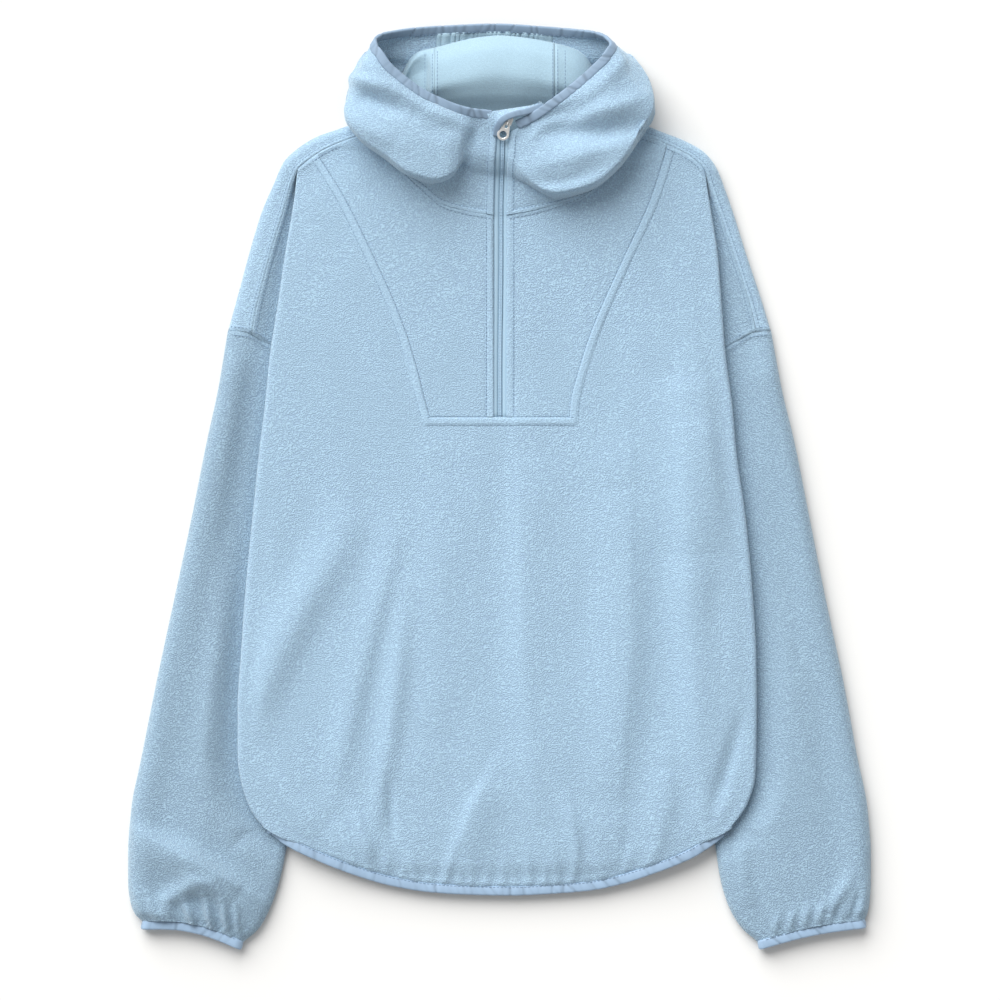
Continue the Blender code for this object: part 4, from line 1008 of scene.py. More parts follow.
def band(name, centres, outward, material, slot, *nodes, closed=False, sides=22,
         width=BINDING_WIDTH, thick=BINDING_THICK, sink=0.0, pucker=0.0, seed=1, body="garment"):
    """A flat bar with rounded edges, carried along centres, with creases across it.

    Its section is a superellipse: the half width times the cosine to the power 0.45, and half the
    thickness times the sine to the power 0.7. outward is the direction of its width.
    """
    _, outward, over = frames_along(centres, outward, closed)
    turn = 2 * math.pi * (np.arange(sides) + 0.5) / sides
    across = np.sign(np.cos(turn)) * np.abs(np.cos(turn)) ** 0.45 * width / 2
    up = np.sign(np.sin(turn)) * np.abs(np.sin(turn)) ** 0.7 * thick / 2
    run = lengths_along(np.vstack([centres, centres[:1]]))
    crease_and_painted_shade = creases(run[:-1], across, run[-1], seed) * min(1, pucker)
    crease = crease_and_painted_shade * pucker
    slim = 1 - crease / thick
    edge = 1 - 0.35 * crease / width
    ring = (centres[:, None] + outward[:, None] * (across * edge)[..., None]
            + over[:, None] * (up * slim + sink)[..., None])
    count = len(centres)
    index = np.arange(count * sides).reshape(count, sides)
    if closed:
        index = np.vstack([index, index[:1]])
    index = np.hstack([index, index[:, :1]])
    points, faces, crease_and_painted_shade = ring.reshape(-1, 3), quads_of(index.T).tolist(), crease_and_painted_shade.ravel()
    if not closed:
        tips = ring[[0, -1]].mean(1)
        points, crease_and_painted_shade = np.vstack([points, tips]), np.append(crease_and_painted_shade, [0, 0])
        for tip, row in ((len(points) - 2, index[0]), (len(points) - 1, index[-1])):
            fan = np.stack([np.full(sides, tip), row[1:], row[:-1]], axis=1)
            faces += (fan if tip == len(points) - 2 else fan[:, ::-1]).tolist()
    # The crease depths also go into the mesh, where they give painted shade in the creases.
    mesh = new_mesh(name, points, faces, np.minimum(crease_and_painted_shade, 1))
    mend(mesh)
    return sew(name, mesh, material, slot, *nodes, body=body)


def capsules(centres, ahead, over, size, sides=6, rings=4):
    """Points and faces of many small closed capsules, one at each centre.

    A capsule is a stretched ball: along it the cosine, and round it the sine of a half turn,
    times its half length, half width and half height.
    """
    beside = np.cross(over, ahead)
    polar = np.linspace(0, math.pi, rings + 2)[1:-1]
    turn = 2 * math.pi * np.arange(sides) / sides
    along = np.repeat(np.cos(polar), sides)
    out = np.repeat(np.sin(polar) ** 0.7, sides) * np.tile(np.cos(turn), rings)
    up = np.repeat(np.sin(polar) ** 0.7, sides) * np.tile(np.sin(turn), rings)
    along, out, up = np.append(along, [1, -1]), np.append(out, [0, 0]), np.append(up, [0, 0])
    half = np.array(size) / 2
    shape = (centres[:, None] + ahead[:, None] * (along * half[0])[:, None]
             + beside[:, None] * (out * half[1])[:, None] + over[:, None] * (up * half[2])[:, None])
    index = np.arange(rings * sides).reshape(rings, sides)
    index = np.hstack([index, index[:, :1]])
    head, tail = rings * sides, rings * sides + 1
    fans = [(head, a, b, b) for a, b in zip(index[0, :-1], index[0, 1:])]
    fans += [(tail, b, a, a) for a, b in zip(index[-1, :-1], index[-1, 1:])]
    one = np.vstack([quads_of(index), np.array(fans)])
    faces = one[None] + np.arange(len(centres))[:, None, None] * (rings * sides + 2)
    return shape.reshape(-1, 3), faces.reshape(-1, 4)


def small_parts(name, parts, material, slot, *nodes, body="garment"):
    """One mesh of many small closed shapes. A face that repeats its last corner is a triangle."""
    points, faces, first = [], [], 0
    for shape, quads in parts:
        points.append(shape)
        faces += [list(dict.fromkeys(row)) for row in (quads + first).tolist()]
        first += len(shape)
    mesh = new_mesh(name, np.concatenate(points), faces)
    mend(mesh)
    return sew(name, mesh, material, slot, *nodes, body=body)


def stitch_row(line, normals, trim=0.0):
    """Stitches end to end along a line on the cloth: thin capsules that stand half out of it."""
    step = mm(sizes().stitch_length + sizes().stitch_gap)
    run = lengths_along(line)
    at = np.arange(trim + step / 2, run[-1] - trim, step)
    centres, over = points_at(line, run, at), unit(points_at(normals, run, at))
    ahead = unit(points_at(line, run, at + 0.5) - points_at(line, run, at - 0.5))
    ahead = unit(square_to(ahead, over))
    thick = mm(sizes().thread)
    size = (mm(sizes().stitch_length), thick * 1.5, thick)
    return capsules(centres + over * thick * 0.1, ahead, over, size)


def binding_row(centres, outward, keep, width=BINDING_WIDTH, thick=BINDING_THICK, sink=0.0):
    """The row of stitches on a binding, just inside the edge where the cloth goes into it."""
    _, outward, over = frames_along(centres, outward, False)
    over = over * np.where(over[:, 2:] < 0, -1, 1) if sink == 0 else over
    line = centres - outward * (width / 2 - 0.9) + over * (thick / 2 * 0.9 + sink)
    return stitch_row(line[keep], over[keep], 1)


def grid_line(grid, distance, axis=1, far=True):
    """The line on a grid at a distance from one of its edges, with the grid's normals there."""
    surface = grid if axis == 1 else grid.transpose(1, 0, 2)
    normals = grid_normals(grid) if axis == 1 else grid_normals(grid).transpose(1, 0, 2)
    if far:
        surface, normals = surface[:, ::-1], normals[:, ::-1]
    steps = np.linalg.norm(np.diff(surface, axis=1), axis=2)
    reach = np.concatenate([np.zeros((len(surface), 1)), np.cumsum(steps, axis=1)], axis=1)
    k = np.clip((reach < distance).sum(1) - 1, 0, surface.shape[1] - 2)
    row = np.arange(len(surface))
    t = ((distance - reach[row, k]) / np.maximum(reach[row, k + 1] - reach[row, k], 1e-6))[:, None]
    return (blend(surface[row, k], surface[row, k + 1], t),
            unit(blend(normals[row, k], normals[row, k + 1], t)))


def upward(normals):
    """The same normals, on the side that faces up."""
    return normals * np.where(normals[..., 2:] < 0, -1, 1)


# ---- finishes ----

def material_named(name):
    """A new material with its nodes and its shader, or one that is there already without them."""
    known = bpy.data.materials.get(name)
    if known:
        return known, None, None
    material = bpy.data.materials.new(name)
    material.use_nodes = True
    tree = material.node_tree
    return material, tree, tree.nodes["Principled BSDF"]


def node(tree, kind, **settings):
    made = tree.nodes.new(kind)
    for key, value in settings.items():
        if key in made.inputs:
            made.inputs[key].default_value = value
        else:
            setattr(made, key, value)
    return made


def put(tree, value, socket):
    """Links a socket to another one, or sets it to a number or a colour."""
    if hasattr(value, "node"):
        tree.links.new(value, socket)
    else:
        socket.default_value = (*value, 1) if isinstance(value, tuple) else value


def mixed(tree, factor, first, second):
    """Mixes two colours by a factor."""
    mix = node(tree, "ShaderNodeMix", data_type="RGBA")
    for socket, value in (("Factor", factor), (6, first), (7, second)):
        put(tree, value, mix.inputs[socket])
    return mix.outputs[2]


def scaled(tree, value, factor, more=0.0):
    """A value times a number, and more added to it."""
    result = node(tree, "ShaderNodeMath", operation="MULTIPLY_ADD")
    for socket, part in enumerate((value, factor, more)):
        put(tree, part, result.inputs[socket])
    return result.outputs[0]


def noise(tree, scale, detail):
    """A noise on the piece's own place in metres."""
    texture = node(tree, "ShaderNodeTexNoise", Scale=scale, Detail=detail)
    tree.links.new(node(tree, "ShaderNodeTexCoord").outputs["Object"], texture.inputs["Vector"])
    return texture.outputs["Fac"]


def pressed(tree):
    """How flat the pile is pressed, or how deep a binding's crease is, which darkens the binding as
    painted shade, from 0 to 1.
    """
    return node(tree, "ShaderNodeAttribute", attribute_name="pressed").outputs["Fac"]


def finish(tree, shader, base, height, strength, distance, **plain):
    """Gives a shader its colour, a bump and its plain sockets, named with _ for each space."""
    bump = node(tree, "ShaderNodeBump", Distance=distance)
    put(tree, strength, bump.inputs["Strength"])
    put(tree, height, bump.inputs["Height"])
    put(tree, bump.outputs["Normal"], shader.inputs["Normal"])
    put(tree, base, shader.inputs["Base Color"])
    for name, value in plain.items():
        put(tree, value, shader.inputs[name.replace("_", " ")])


def tinted(own, factor):
    """A colour times a number."""
    return tuple(factor * c for c in own)


def blend_colour(first, second, share):
    return tuple(blend(a, b, share) for a, b in zip(first, second))


def spread(tree, value, low, high):
    """Stretches the part of a value between low and high to 0 to 1."""
    ramp = node(tree, "ShaderNodeMapRange", interpolation_type="SMOOTHSTEP")
    ramp.inputs["From Min"].default_value = low
    ramp.inputs["From Max"].default_value = high
    tree.links.new(value, ramp.inputs["Value"])
    return ramp.outputs["Result"]


def brushed(name, tips, deep, depth, clump, tone=1.0):
    """Brushed fleece. Small clumps of pile from two noises, light on their tips and deeper in
    colour between them, with slow changes of tone over the cloth and a soft sheen. Where the
    pressed attribute is 1 the pile lies flat and is paler."""
    material, tree, shader = material_named(name)
    if shader is None:
        return material
    tips, deep = tinted(tips, tone), tinted(deep, tone)
    clumps = spread(tree, noise(tree, 1 / clump, 1.0), 0.36, 0.64)
    patches = spread(tree, noise(tree, 0.28 / clump, 2.0), 0.3, 0.7)
    drift = spread(tree, noise(tree, 11.0, 3.0), 0.35, 0.65)
    flat = pressed(tree)
    base = mixed(tree, clumps, blend_colour(deep, tips, 0.2), tips)
    base = mixed(tree, scaled(tree, patches, 0.06), base, blend_colour(deep, tips, 0.3))
    base = mixed(tree, scaled(tree, drift, 0.10), base, tinted(tips, 0.8))
    base = mixed(tree, scaled(tree, flat, 0.24), base, blend_colour(deep, tips, 0.8))
    finish(tree, shader, base, scaled(tree, patches, 0.35, clumps), scaled(tree, flat, -0.18, 0.8),
           depth, Roughness=0.95, Specular_IOR_Level=0.12, Sheen_Weight=0.9, Sheen_Roughness=0.35,
           Sheen_Tint=(0.8, 0.93, 1.0))
    return material


def colours():
    return bpy.context.scene.pullover_colours


def fleece(side=0):
    """The outer face. The sleeves' fleece is darker, the left one most: painted shade, and partly
    the pile being cut across.
    """
    name, tone, deeper = {0: ("fleece_face", 1.0, 1.0), LEFT: ("fleece_sleeve_left_painted_shade", 0.84, 0.9),
                          RIGHT: ("fleece_sleeve_right_painted_shade", 0.86, 0.9)}[side]
    return brushed(name, colours().fleece, tinted(colours().fleece_deep, deeper),
                   sizes().pile_depth, sizes().pile_size, tone)


def lining():
    """The inner face, which is brushed shorter."""
    own = colours().lining
    return brushed("fleece_lining_face", own, tinted(own, 0.86), sizes().pile_depth * 0.35,
                   sizes().pile_size * 0.7)


def stretch_jersey(name="stretch_binding", tone=1.0):
    """Stretch binding: a fine smooth knit with a dull gloss, with painted shade darkening it down
    in its creases.
    """
    material, tree, shader = material_named(name)
    if shader is None:
        return material
    own = tinted(colours().binding, tone)
    paler = spread(tree, noise(tree, 60.0, 2.0), 0.3, 0.7)
    base = mixed(tree, paler, tinted(own, 0.93), own)
    # Painted shade: the binding is darkened where a crease is deep.
    base = mixed(tree, pressed(tree), base, tinted(own, 0.64))
    finish(tree, shader, base, noise(tree, 1900.0, 1.0), 0.25, 0.00025, Roughness=0.55,
           Specular_IOR_Level=0.35, Sheen_Weight=0.15)
    return material


def woven(name, own, roughness=0.6, cell=0.0011):
    """Woven or twisted yarn: fine crossing ribs from a sine along each axis."""
    material, tree, shader = material_named(name)
    if shader is None:
        return material
    ribs = node(tree, "ShaderNodeTexWave", Scale=1 / cell / 2, Distortion=1.5,
                bands_direction="DIAGONAL")
    tree.links.new(node(tree, "ShaderNodeTexCoord").outputs["Object"], ribs.inputs["Vector"])
    height = ribs.outputs["Fac"]
    base = mixed(tree, height, tinted(own, 0.8), tuple(own))
    finish(tree, shader, base, height, 0.4, 0.0002, Roughness=roughness)
    return material


def sewing_thread():
    return woven("sewing_thread", colours().thread, 0.7, 0.0006)


def plated_metal():
    """Bright plated zinc with fine rubbed marks."""
    material, tree, shader = material_named("plated_metal")
    if shader is None:
        return material
    rub, own = noise(tree, 900.0, 3.0), tuple(colours().metal)
    base = mixed(tree, spread(tree, rub, 0.35, 0.7), tinted(own, 0.8), own)
    finish(tree, shader, base, rub, 0.15, 0.0001, Metallic=0.7, Roughness=0.34)
    return material


# ---- body ----

def front_columns():
    """How many columns the front has beside the inset and under it, and rows beside it."""
    return cells(150), cells(132), cells(235)


def front_strip(side):
    """The front between the side fold and the inset: a patch between the fold, the slanting
    seam, the inset's foot and the shoulder."""
    across, _, rows = front_columns()
    share = np.linspace(0, 1, rows)
    y = blend(FOOT_EDGE, FOLD_TOP, share)
    outside = fold_start(side, y)
    seam, _ = shoulder(side, NECK_TO_INSET[side])
    y_in = blend(FOOT_EDGE, seam[1], share)
    inside = np.stack([side * inset_edge(y_in, side), y_in], axis=1)
    u = closer_at_end(across + 1)
    foot = outside[0] + (inside[0] - outside[0]) * u[:, None]
    head, _ = shoulder(side, blend(NECK_TO_FOLD, NECK_TO_INSET[side], u))
    head = head[:, :2]
    head[0], head[-1] = outside[-1], inside[-1]
    plan = patch(foot, head, outside, inside, share, u)
    x, y_at = plan[..., 0], plan[..., 1]
    to_shoulder = np.linalg.norm(plan - head[None], axis=2)
    flat = with_height(plan, front_z(x, y_at), nearest(inset_away(x, y_at), to_shoulder))
    return np.hstack([side_fold(side, y)[:, ::-1], flat])


def front_lower():
    """The front from the inset's foot to the hem, with both side folds."""
    across, middle_cells, _ = front_columns()
    share = closer_at_ends(cells(420), 0.6)
    y = {side: blend(FOOT_EDGE, hem_fold(side), share) for side in (LEFT, RIGHT)}
    left, right = fold_start(LEFT, y[LEFT]), fold_start(RIGHT, y[RIGHT])
    u = closer_at_end(across + 1)[:, None]
    foot = {}
    for side in (LEFT, RIGHT):
        first, last = fold_start(side, y[side][:1]), (side * inset_edge(FOOT_EDGE, side), FOOT_EDGE)
        foot[side] = first + (last - first) * u
    middle = np.linspace(foot[LEFT][-1], foot[RIGHT][-1], middle_cells + 1)[1:-1]
    top = np.vstack([foot[LEFT], middle, foot[RIGHT][::-1]])
    reach = lengths_along(top) / lengths_along(top)[-1]
    even = np.linspace(0, 1, len(top))
    x = blend(left[-1, 0], right[-1, 0], blend(reach, even, 0.5))
    bottom = np.stack([x, cloth_hem_y(x)], axis=1)
    bottom[0], bottom[-1] = left[-1], right[-1]
    plan = patch(top, bottom, left, right, share, reach)
    x, y_at = plan[..., 0], plan[..., 1]
    flat = with_height(plan, front_z(x, y_at), inset_away(x, y_at))
    sides = [side_fold(side, y[side], share) for side in (LEFT, RIGHT)]
    return np.hstack([sides[0][:, ::-1], flat, sides[1]])


def front_inset(side):
    """Half of the inset: a patch between the zip, its foot, its slanting seam and the neck."""
    rows = cells(240)
    neck = neck_line(side, 80)
    seam, _ = shoulder(side, np.linspace(0.02, NECK_TO_INSET[side], 20))
    u = closer_at_ends(cells(130))
    end = spaced(np.vstack([neck[1:], seam[:, :2]]), u)
    zip_edge, seam_x = side * ZIP_HALF_GAP, side * inset_edge(FOOT_EDGE, side)
    start = np.stack([blend(zip_edge, seam_x, u), np.full(len(u), FOOT_EDGE)], axis=1)
    share = closer_at_ends(rows, 0.5)
    end[0, 0] = zip_edge
    inside = start[0] + (end[0] - start[0]) * share[:, None]
    y = blend(FOOT_EDGE, end[-1, 1], share)
    outside = np.stack([side * inset_edge(y, side), y], axis=1)
    outside[-1] = end[-1]
    plan = patch(start, end, inside, outside, share, u)
    x, y_at = plan[..., 0], plan[..., 1]
    to_shoulder = np.linalg.norm(plan[:, :, None] - seam[None, None, :, :2], axis=3).min(2)
    by_zip = np.abs(x) - ZIP_HALF_GAP - PLACKET_ROW + SEAM_ROW
    away = nearest(inset_away(x, y_at), neck_distance(side, x, y_at), to_shoulder, by_zip)
    height = front_z(x, y_at) - 0.6 * mm(sizes().seam_rise) * seam_band(by_zip)
    return with_height(plan, height, away)


def neck_distance(side, x, y):
    """How far a place on the inset lies below the neck seam."""
    line = neck_line(side, 60)
    order = np.argsort(line[:, 0])
    seam_y = np.interp(x, line[order, 0], line[order, 1])
    slope = np.interp(x, line[order, 0], np.gradient(line[order, 1], line[order, 0]))
    return np.abs(seam_y - y) / np.sqrt(1 + slope**2)


def front_arm(side):
    """The front's drop shoulder, from the shoulder seam inwards under the side fold."""
    share = np.linspace(0, 1, cells(170))
    seam, _ = shoulder(side, blend(NECK_TO_FOLD, 1, share))
    outside = seam[:, :2].copy()
    outside[-1, 1] = armhole_y(outside[-1, 0])
    u = closer_at_ends(cells(80), 0.5)
    foot = blend(outside[-1, 0], side * 152.0, u)
    foot = np.stack([foot, armhole_y(foot)], axis=1)
    head = outside[0] - u[:, None] * np.array([side * 4.0, 3.0])
    inside = head[-1] + (foot[-1] - head[-1]) * share[:, None]
    plan = patch(head, foot, outside, inside, share, u)
    x, y = plan[..., 0], plan[..., 1]
    low = blend(SLEEVE_UNDER - 0.3, 11.0, ease((y - 264) / 18))
    high = np.broadcast_to(seam[:, 2:], x.shape)
    free = np.clip(seam_out(y, side) - side_out(y, side), 0.5, 22)
    height = blend(low, high, ease((np.abs(x) - side_out(y, side)) / free))
    away = nearest(np.linalg.norm(plan - outside[:, None], axis=2), y - armhole_y(x))
    return with_height(plan, height, away + FAR * (np.abs(x) < side_out(y, side) - 1))


def back_hem(x):
    return cloth_hem_y(x, BACK_SHORTER)


def side_seam_out(side, y):
    return side_out(y, side) - fold_radius(y) - SIDE_RETURN - 0.2


def over_sleeve(side, x, y):
    """0 beside a sleeve and 1 where the body lies on it."""
    return ease((np.abs(x) - sleeve_inner(side, y) + 19) / 14)


def back_grids():
    """The back as blocks: its middle, the margins on the sleeves and the shoulders."""
    share = np.linspace(0, 1, 60)
    middle_cells = 24
    line = {}
    for side in (LEFT, RIGHT):
        upper = np.linspace((side * 90.0, NECK_BACK), (side * 120.0, UNDERARM), len(share))
        y = blend(UNDERARM, -304.0, share)
        lower = np.stack([side * (sleeve_inner(side, y) - 20), y], axis=1)
        lower[0] = upper[-1]
        lower[-1, 1] = back_hem(lower[-1, 0])
        line[side] = upper, lower
    start = np.linspace(line[LEFT][0][0], line[RIGHT][0][0], middle_cells + 1)
    start[:, 1] -= 5 * (1 - (start[:, 0] / 90) ** 2)
    waist = np.linspace(line[LEFT][0][-1], line[RIGHT][0][-1], middle_cells + 1)
    x = np.linspace(line[LEFT][1][-1, 0], line[RIGHT][1][-1, 0], middle_cells + 1)
    hem = np.stack([x, back_hem(x)], axis=1)
    grids = []
    for top, bottom, k in ((start, waist, 0), (waist, hem, 1)):
        plan = patch(top, bottom, line[LEFT][k], line[RIGHT][k], share)
        grids.append((with_height(plan, np.zeros(plan.shape[:2])), True))
    for side in (LEFT, RIGHT):
        grids.append((back_margin(side, line[side][1], share), side == RIGHT))
        grids.append((back_shoulder(side, line[side][0], share), side == RIGHT))
    return grids


def back_margin(side, line, share):
    """The back beside the middle: up over the sleeve's inner edge and on to the side seam."""
    y = blend(UNDERARM, float(cloth_hem_y(np.array(side * 203.0))), share)
    seam = np.stack([side * side_seam_out(side, y), y], axis=1)
    inward = np.array([0, 0.08, 0.14, 0.2, 0.27, 0.34, 0.4, 0.46, 0.54, 0.62, 0.7, 0.8, 0.9, 1.0])
    plan = line[:, None] + (seam - line)[:, None] * inward[:, None]
    plan[-1, 1:-1, 1] = back_hem(plan[-1, 1:-1, 0])
    return with_height(plan, LIE_HEIGHT * over_sleeve(side, plan[..., 0], plan[..., 1]))


def curl_columns(side, share):
    """The back's edge where it comes up over the shoulder, from underneath to the seam."""
    seam, edge = shoulder(side, share)
    seam = seam.copy()
    seam[-1, 1] = edge[-1, 1] = armhole_y(seam[-1, 0])
    stops = np.arange(len(SHOULDER_CURL["up"]), dtype=float)
    at = np.linspace(0, stops[-1], 25)
    inward = smooth(at, stops, SHOULDER_CURL["inward"])[None, :, None]
    up = smooth(at, stops, SHOULDER_CURL["up"])
    curl = edge[:, None] + (seam[:, None, :2] - edge[:, None]) * inward
    curl[-1, :, 1] = armhole_y(curl[-1, :, 0])
    away = nearest(np.linalg.norm(curl - seam[:, None, :2], axis=2),
                   curl[..., 1] - armhole_y(curl[..., 0]))
    return with_height(curl, seam[:, 2:] * up, away + FAR * (at < 3.6))


def back_shoulder(side, line, share):
    """The back from its middle out to the shoulder and up over it to the seam."""
    curl = curl_columns(side, share)
    flat = blend(line[:, None], curl[:, :1, :2], np.linspace(0, 1, 8)[:-1][None, :, None])
    flat[-1, 1:, 1] = armhole_under_y(flat[-1, 1:, 0])
    curl[-1, :9, 1] = armhole_under_y(curl[-1, :9, 0])
    return np.hstack([with_height(flat, np.zeros(flat.shape[:2])), curl])


# ---- sleeves ----

def outside_body(x, y):
    """How far a place lies outside the body's outline, below 0 under the body."""
    side = np.where(x < 0, side_out(y, LEFT), side_out(y, RIGHT))
    return np.maximum(np.abs(x) - side, hem_y(x) - y)


def sleeve_grid(side):
    """Rings of a sleeve: flat below, rounded at both edges as quarter circles, crowned above.

    Where the body lies on it the top is pressed down, and it gathers into the cuff.
    """
    columns = SLEEVE[side]
    count = len(columns["crown"]) - 1
    rows = count * closer_at_end(cells(560), 0.35)
    outer, inner = (np.stack([read(columns, edge + axis, rows) for axis in "xy"], axis=-1)
                    for edge in ("outer_", "inner_"))
    width = np.linalg.norm(inner - outer, axis=1)[:, None]
    angle = np.linspace(-math.pi / 2, math.pi / 2, 12)
    rounding = SLEEVE_ROUND * (1 - np.cos(angle))
    top = np.linspace(0, 1, 62)[1:-1]
    under = np.linspace(1, 0, 14)[1:-1]
    span = width - 2 * SLEEVE_ROUND
    across = np.hstack([
        np.broadcast_to(rounding, (len(rows), 12)),
        SLEEVE_ROUND + top * span,
        width - rounding[::-1],
        SLEEVE_ROUND + under * span,
    ])
    climb = np.sin(angle) / 2
    part = np.concatenate([0.5 + climb, np.ones(len(top)), 0.5 - climb, np.zeros(len(under))])
    share = across / width
    plan = outer[:, None] + (inner - outer)[:, None] * share[..., None]
    fade = ease(1 - rows / 2.5)[:, None]
    seam_y = np.where(part > 0, armhole_y(plan[:1, :, 0]), armhole_under_y(plan[:1, :, 0]))
    plan[..., 1] += (seam_y - plan[:1, :, 1]) * fade
    arch = CUFF_ARCH[side] * np.sin(math.pi * share) * ease(1 - (rows[-1] - rows) / 2)[:, None]
    plan[..., 1] += arch
    x, y = plan[..., 0], plan[..., 1]
    crown = read(columns, "crown", rows)[:, None]
    middle = np.sin(math.pi * np.clip(share, 0, 1)) ** 0.8
    height = SLEEVE_EDGE + (crown - SLEEVE_EDGE) * middle
    outer_roll = bell((across - SLEEVE_ROUND - 3) / 15) * ease(rows / 0.8)[:, None]
    height = height + 5.0 * outer_roll * (1 - 0.6 * ease((rows - rows[-1] + 1.5) / 1.5))[:, None]
    relief = folds(x, y, SLEEVE_FOLD[side]) + ripple(x, y, 5 - side, 260, 60, lean=0.3 * side) * 1.0
    near_cuff = bell((rows - rows[-1]) / 0.9)[:, None]
    wave = np.sin(math.pi * CUFF_GATHERS * (share + 0.02 * np.sin(19 * share))) ** 2 - 0.5
    relief = relief + CUFF_GATHER_HEIGHT * wave * near_cuff
    out = outside_body(x, y)
    height = height + relief * np.clip(5 * share * (1 - share), 0, 1) ** 0.5 * ease(out / 14)
    height = blend(SLEEVE_UNDER, height, ease((out + 2) / 34))
    return with_height(plan, height * part, np.where(part > 0.9, armhole_y(x) - y, FAR))


def cuff_ring(side):
    """Middle line of a cuff binding: a flat ring past the end of the sleeve."""
    columns = SLEEVE[side]
    outer, inner = (np.array([columns[edge + axis][-1] for axis in "xy"])
                    for edge in ("outer_", "inner_"))
    across = unit(inner - outer)
    ahead = np.array([-across[1], across[0]]) * side
    centre = (outer + inner) / 2 + ahead * (BINDING_WIDTH / 2 - 0.6)
    radius = (CUFF_HEIGHT - BINDING_THICK) / 2
    straight = np.linalg.norm(inner - outer) / 2 - radius - BINDING_THICK / 2
    arc = np.linspace(-math.pi / 2, math.pi / 2, 14)
    run = np.linspace(straight, -straight, 90)[1:-1]
    flat = np.full(len(run), radius)
    end = straight + radius * np.cos(arc)
    u = np.concatenate([end, run, -end, -run])
    v = np.concatenate([radius * np.sin(arc), flat, -radius * np.sin(arc), -flat])
    ring = centre + across * u[:, None]
    middle = np.clip(0.5 + u / np.linalg.norm(inner - outer), 0, 1)
    ring[:, 1] += CUFF_ARCH[side] * np.sin(math.pi * middle)
    outward = np.broadcast_to(np.array([*ahead, 0.0]), (len(u), 3))
    return np.column_stack([ring, v + CUFF_HEIGHT / 2]), outward


# ---- hood ----

def hood_profiles(columns, count):
    """Profiles of a hood panel as dense lines through their rim, top, edge and neck.

    A tall roll stays level nearly to its outer edge and drops steeply there, to a foot below it,
    so that it overhangs. The fourth number of a point says how far along its profile it is.
    """
    rows = np.linspace(0, len(columns["rim_x"]) - 1, count)
    rim, top, edge, neck = (np.stack([read(columns, mark + axis, rows) for axis in "xyz"])
                            for mark in ("rim_", "top_", "edge_", "neck_"))
    square = ease((top[2] - edge[2] - 8) / 6)
    tuck = square * ease((edge[1] - neck[1] - 4) / 8)
    to_neck = np.array([[0.22], [0.22], [0.72]]) - np.array([[0], [0.38], [0.4]]) * tuck
    foot = blend(edge, neck, to_neck)
    soft, tall = np.array([[0.6], [0.6], [0.3]]), np.array([[0.92], [0.92], [0.08]])
    crest = blend(top, edge, blend(soft, tall, square))
    marks = np.array([rim, top, crest, edge, foot, neck])
    stops = np.array([0.0, 1.0, 1.6, 2.0, 2.35, 3.0])
    at = np.linspace(0, 3, 61)
    return np.array([[smooth(at, stops, marks[:, axis, k]) for axis in range(3)] + [at]
                     for k in range(count)]).transpose(0, 2, 1)


def rim_frames(profiles):
    """At each profile's free edge, the way square to the rim in the cloth, and 1 over its slant."""
    along = unit(np.gradient(profiles[:, 0, :3], axis=0))
    down = unit(profiles[:, 4, :3] - profiles[:, 0, :3])
    square = square_to(down, along)
    return unit(square), 1 / np.maximum(np.linalg.norm(square, axis=1), 0.5)


def hood_panel(columns, count, rows):
    """The cloth of a hood panel, from inside its binding to the neck, with its folds.

    Its folds and its small waves move it along its normals, and fade out at its two edges.
    """
    profiles = hood_profiles(columns, count)
    _, slant = rim_frames(profiles)
    starts = (BINDING_WIDTH - 1.2) * slant
    share = closer_at_end(rows)
    grid = np.array([spaced(profile, share, start) for profile, start in zip(profiles, starts)])
    along, grid = grid[..., 3], grid[..., :3]
    x, y = grid[..., 0], grid[..., 1]
    relief = folds(x, y, HOOD_FOLD) + ripple(x, y, 11, 60, 50) * 0.9
    relief = relief * ease((along - 0.15) / 0.35) * (1 - ease((along - 1.75) / 0.4))
    to_neck = lengths_from_end(grid)
    from_rim = to_neck[:, :1] - to_neck
    puff = RIM_PUFF * bell((from_rim - 11) / 7) * ease((np.abs(x) - 16) / 20)
    puff = puff - 0.5 * bell(from_rim / 1.5)
    relief = relief + puff * ease((grid[..., 2] - 36) / 8)
    away = to_neck + FAR * (grid[..., 2] < 12)
    if np.abs(x[0]).max() < 20:
        zip_edge = np.interp(y, grid[0, ::-1, 1], grid[0, ::-1, 0])
        away = nearest(away, np.abs(x - zip_edge) - PLACKET_ROW + SEAM_ROW)
    relief = relief + seam_relief(away)
    return np.dstack([grid + upward(grid_normals(grid)) * relief[..., None], seam_band(away)])


def lengths_from_end(grid):
    """How far each point of a grid's rows is from the row's last point."""
    steps = np.linalg.norm(np.diff(grid, axis=1), axis=2)
    total = np.cumsum(steps[:, ::-1], axis=1)[:, ::-1]
    return np.hstack([total, np.zeros((len(grid), 1))])


def rim_line(count=420):
    """Middle line of the hood's binding, from the zip round to the zip, and the way to its free
    edge."""
    lines = [hood_profiles(HOOD[LEFT], 60), hood_profiles(HOOD_CROWN, 24),
             hood_profiles(HOOD[RIGHT], 60)[::-1]]
    profiles = np.concatenate(lines)
    square, _ = rim_frames(profiles)
    middle = profiles[:, 0, :3] + square * BINDING_WIDTH / 2
    even = spaced(np.hstack([middle, -square]), np.linspace(0, 1, count))
    return even[:, :3], unit(even[:, 3:])


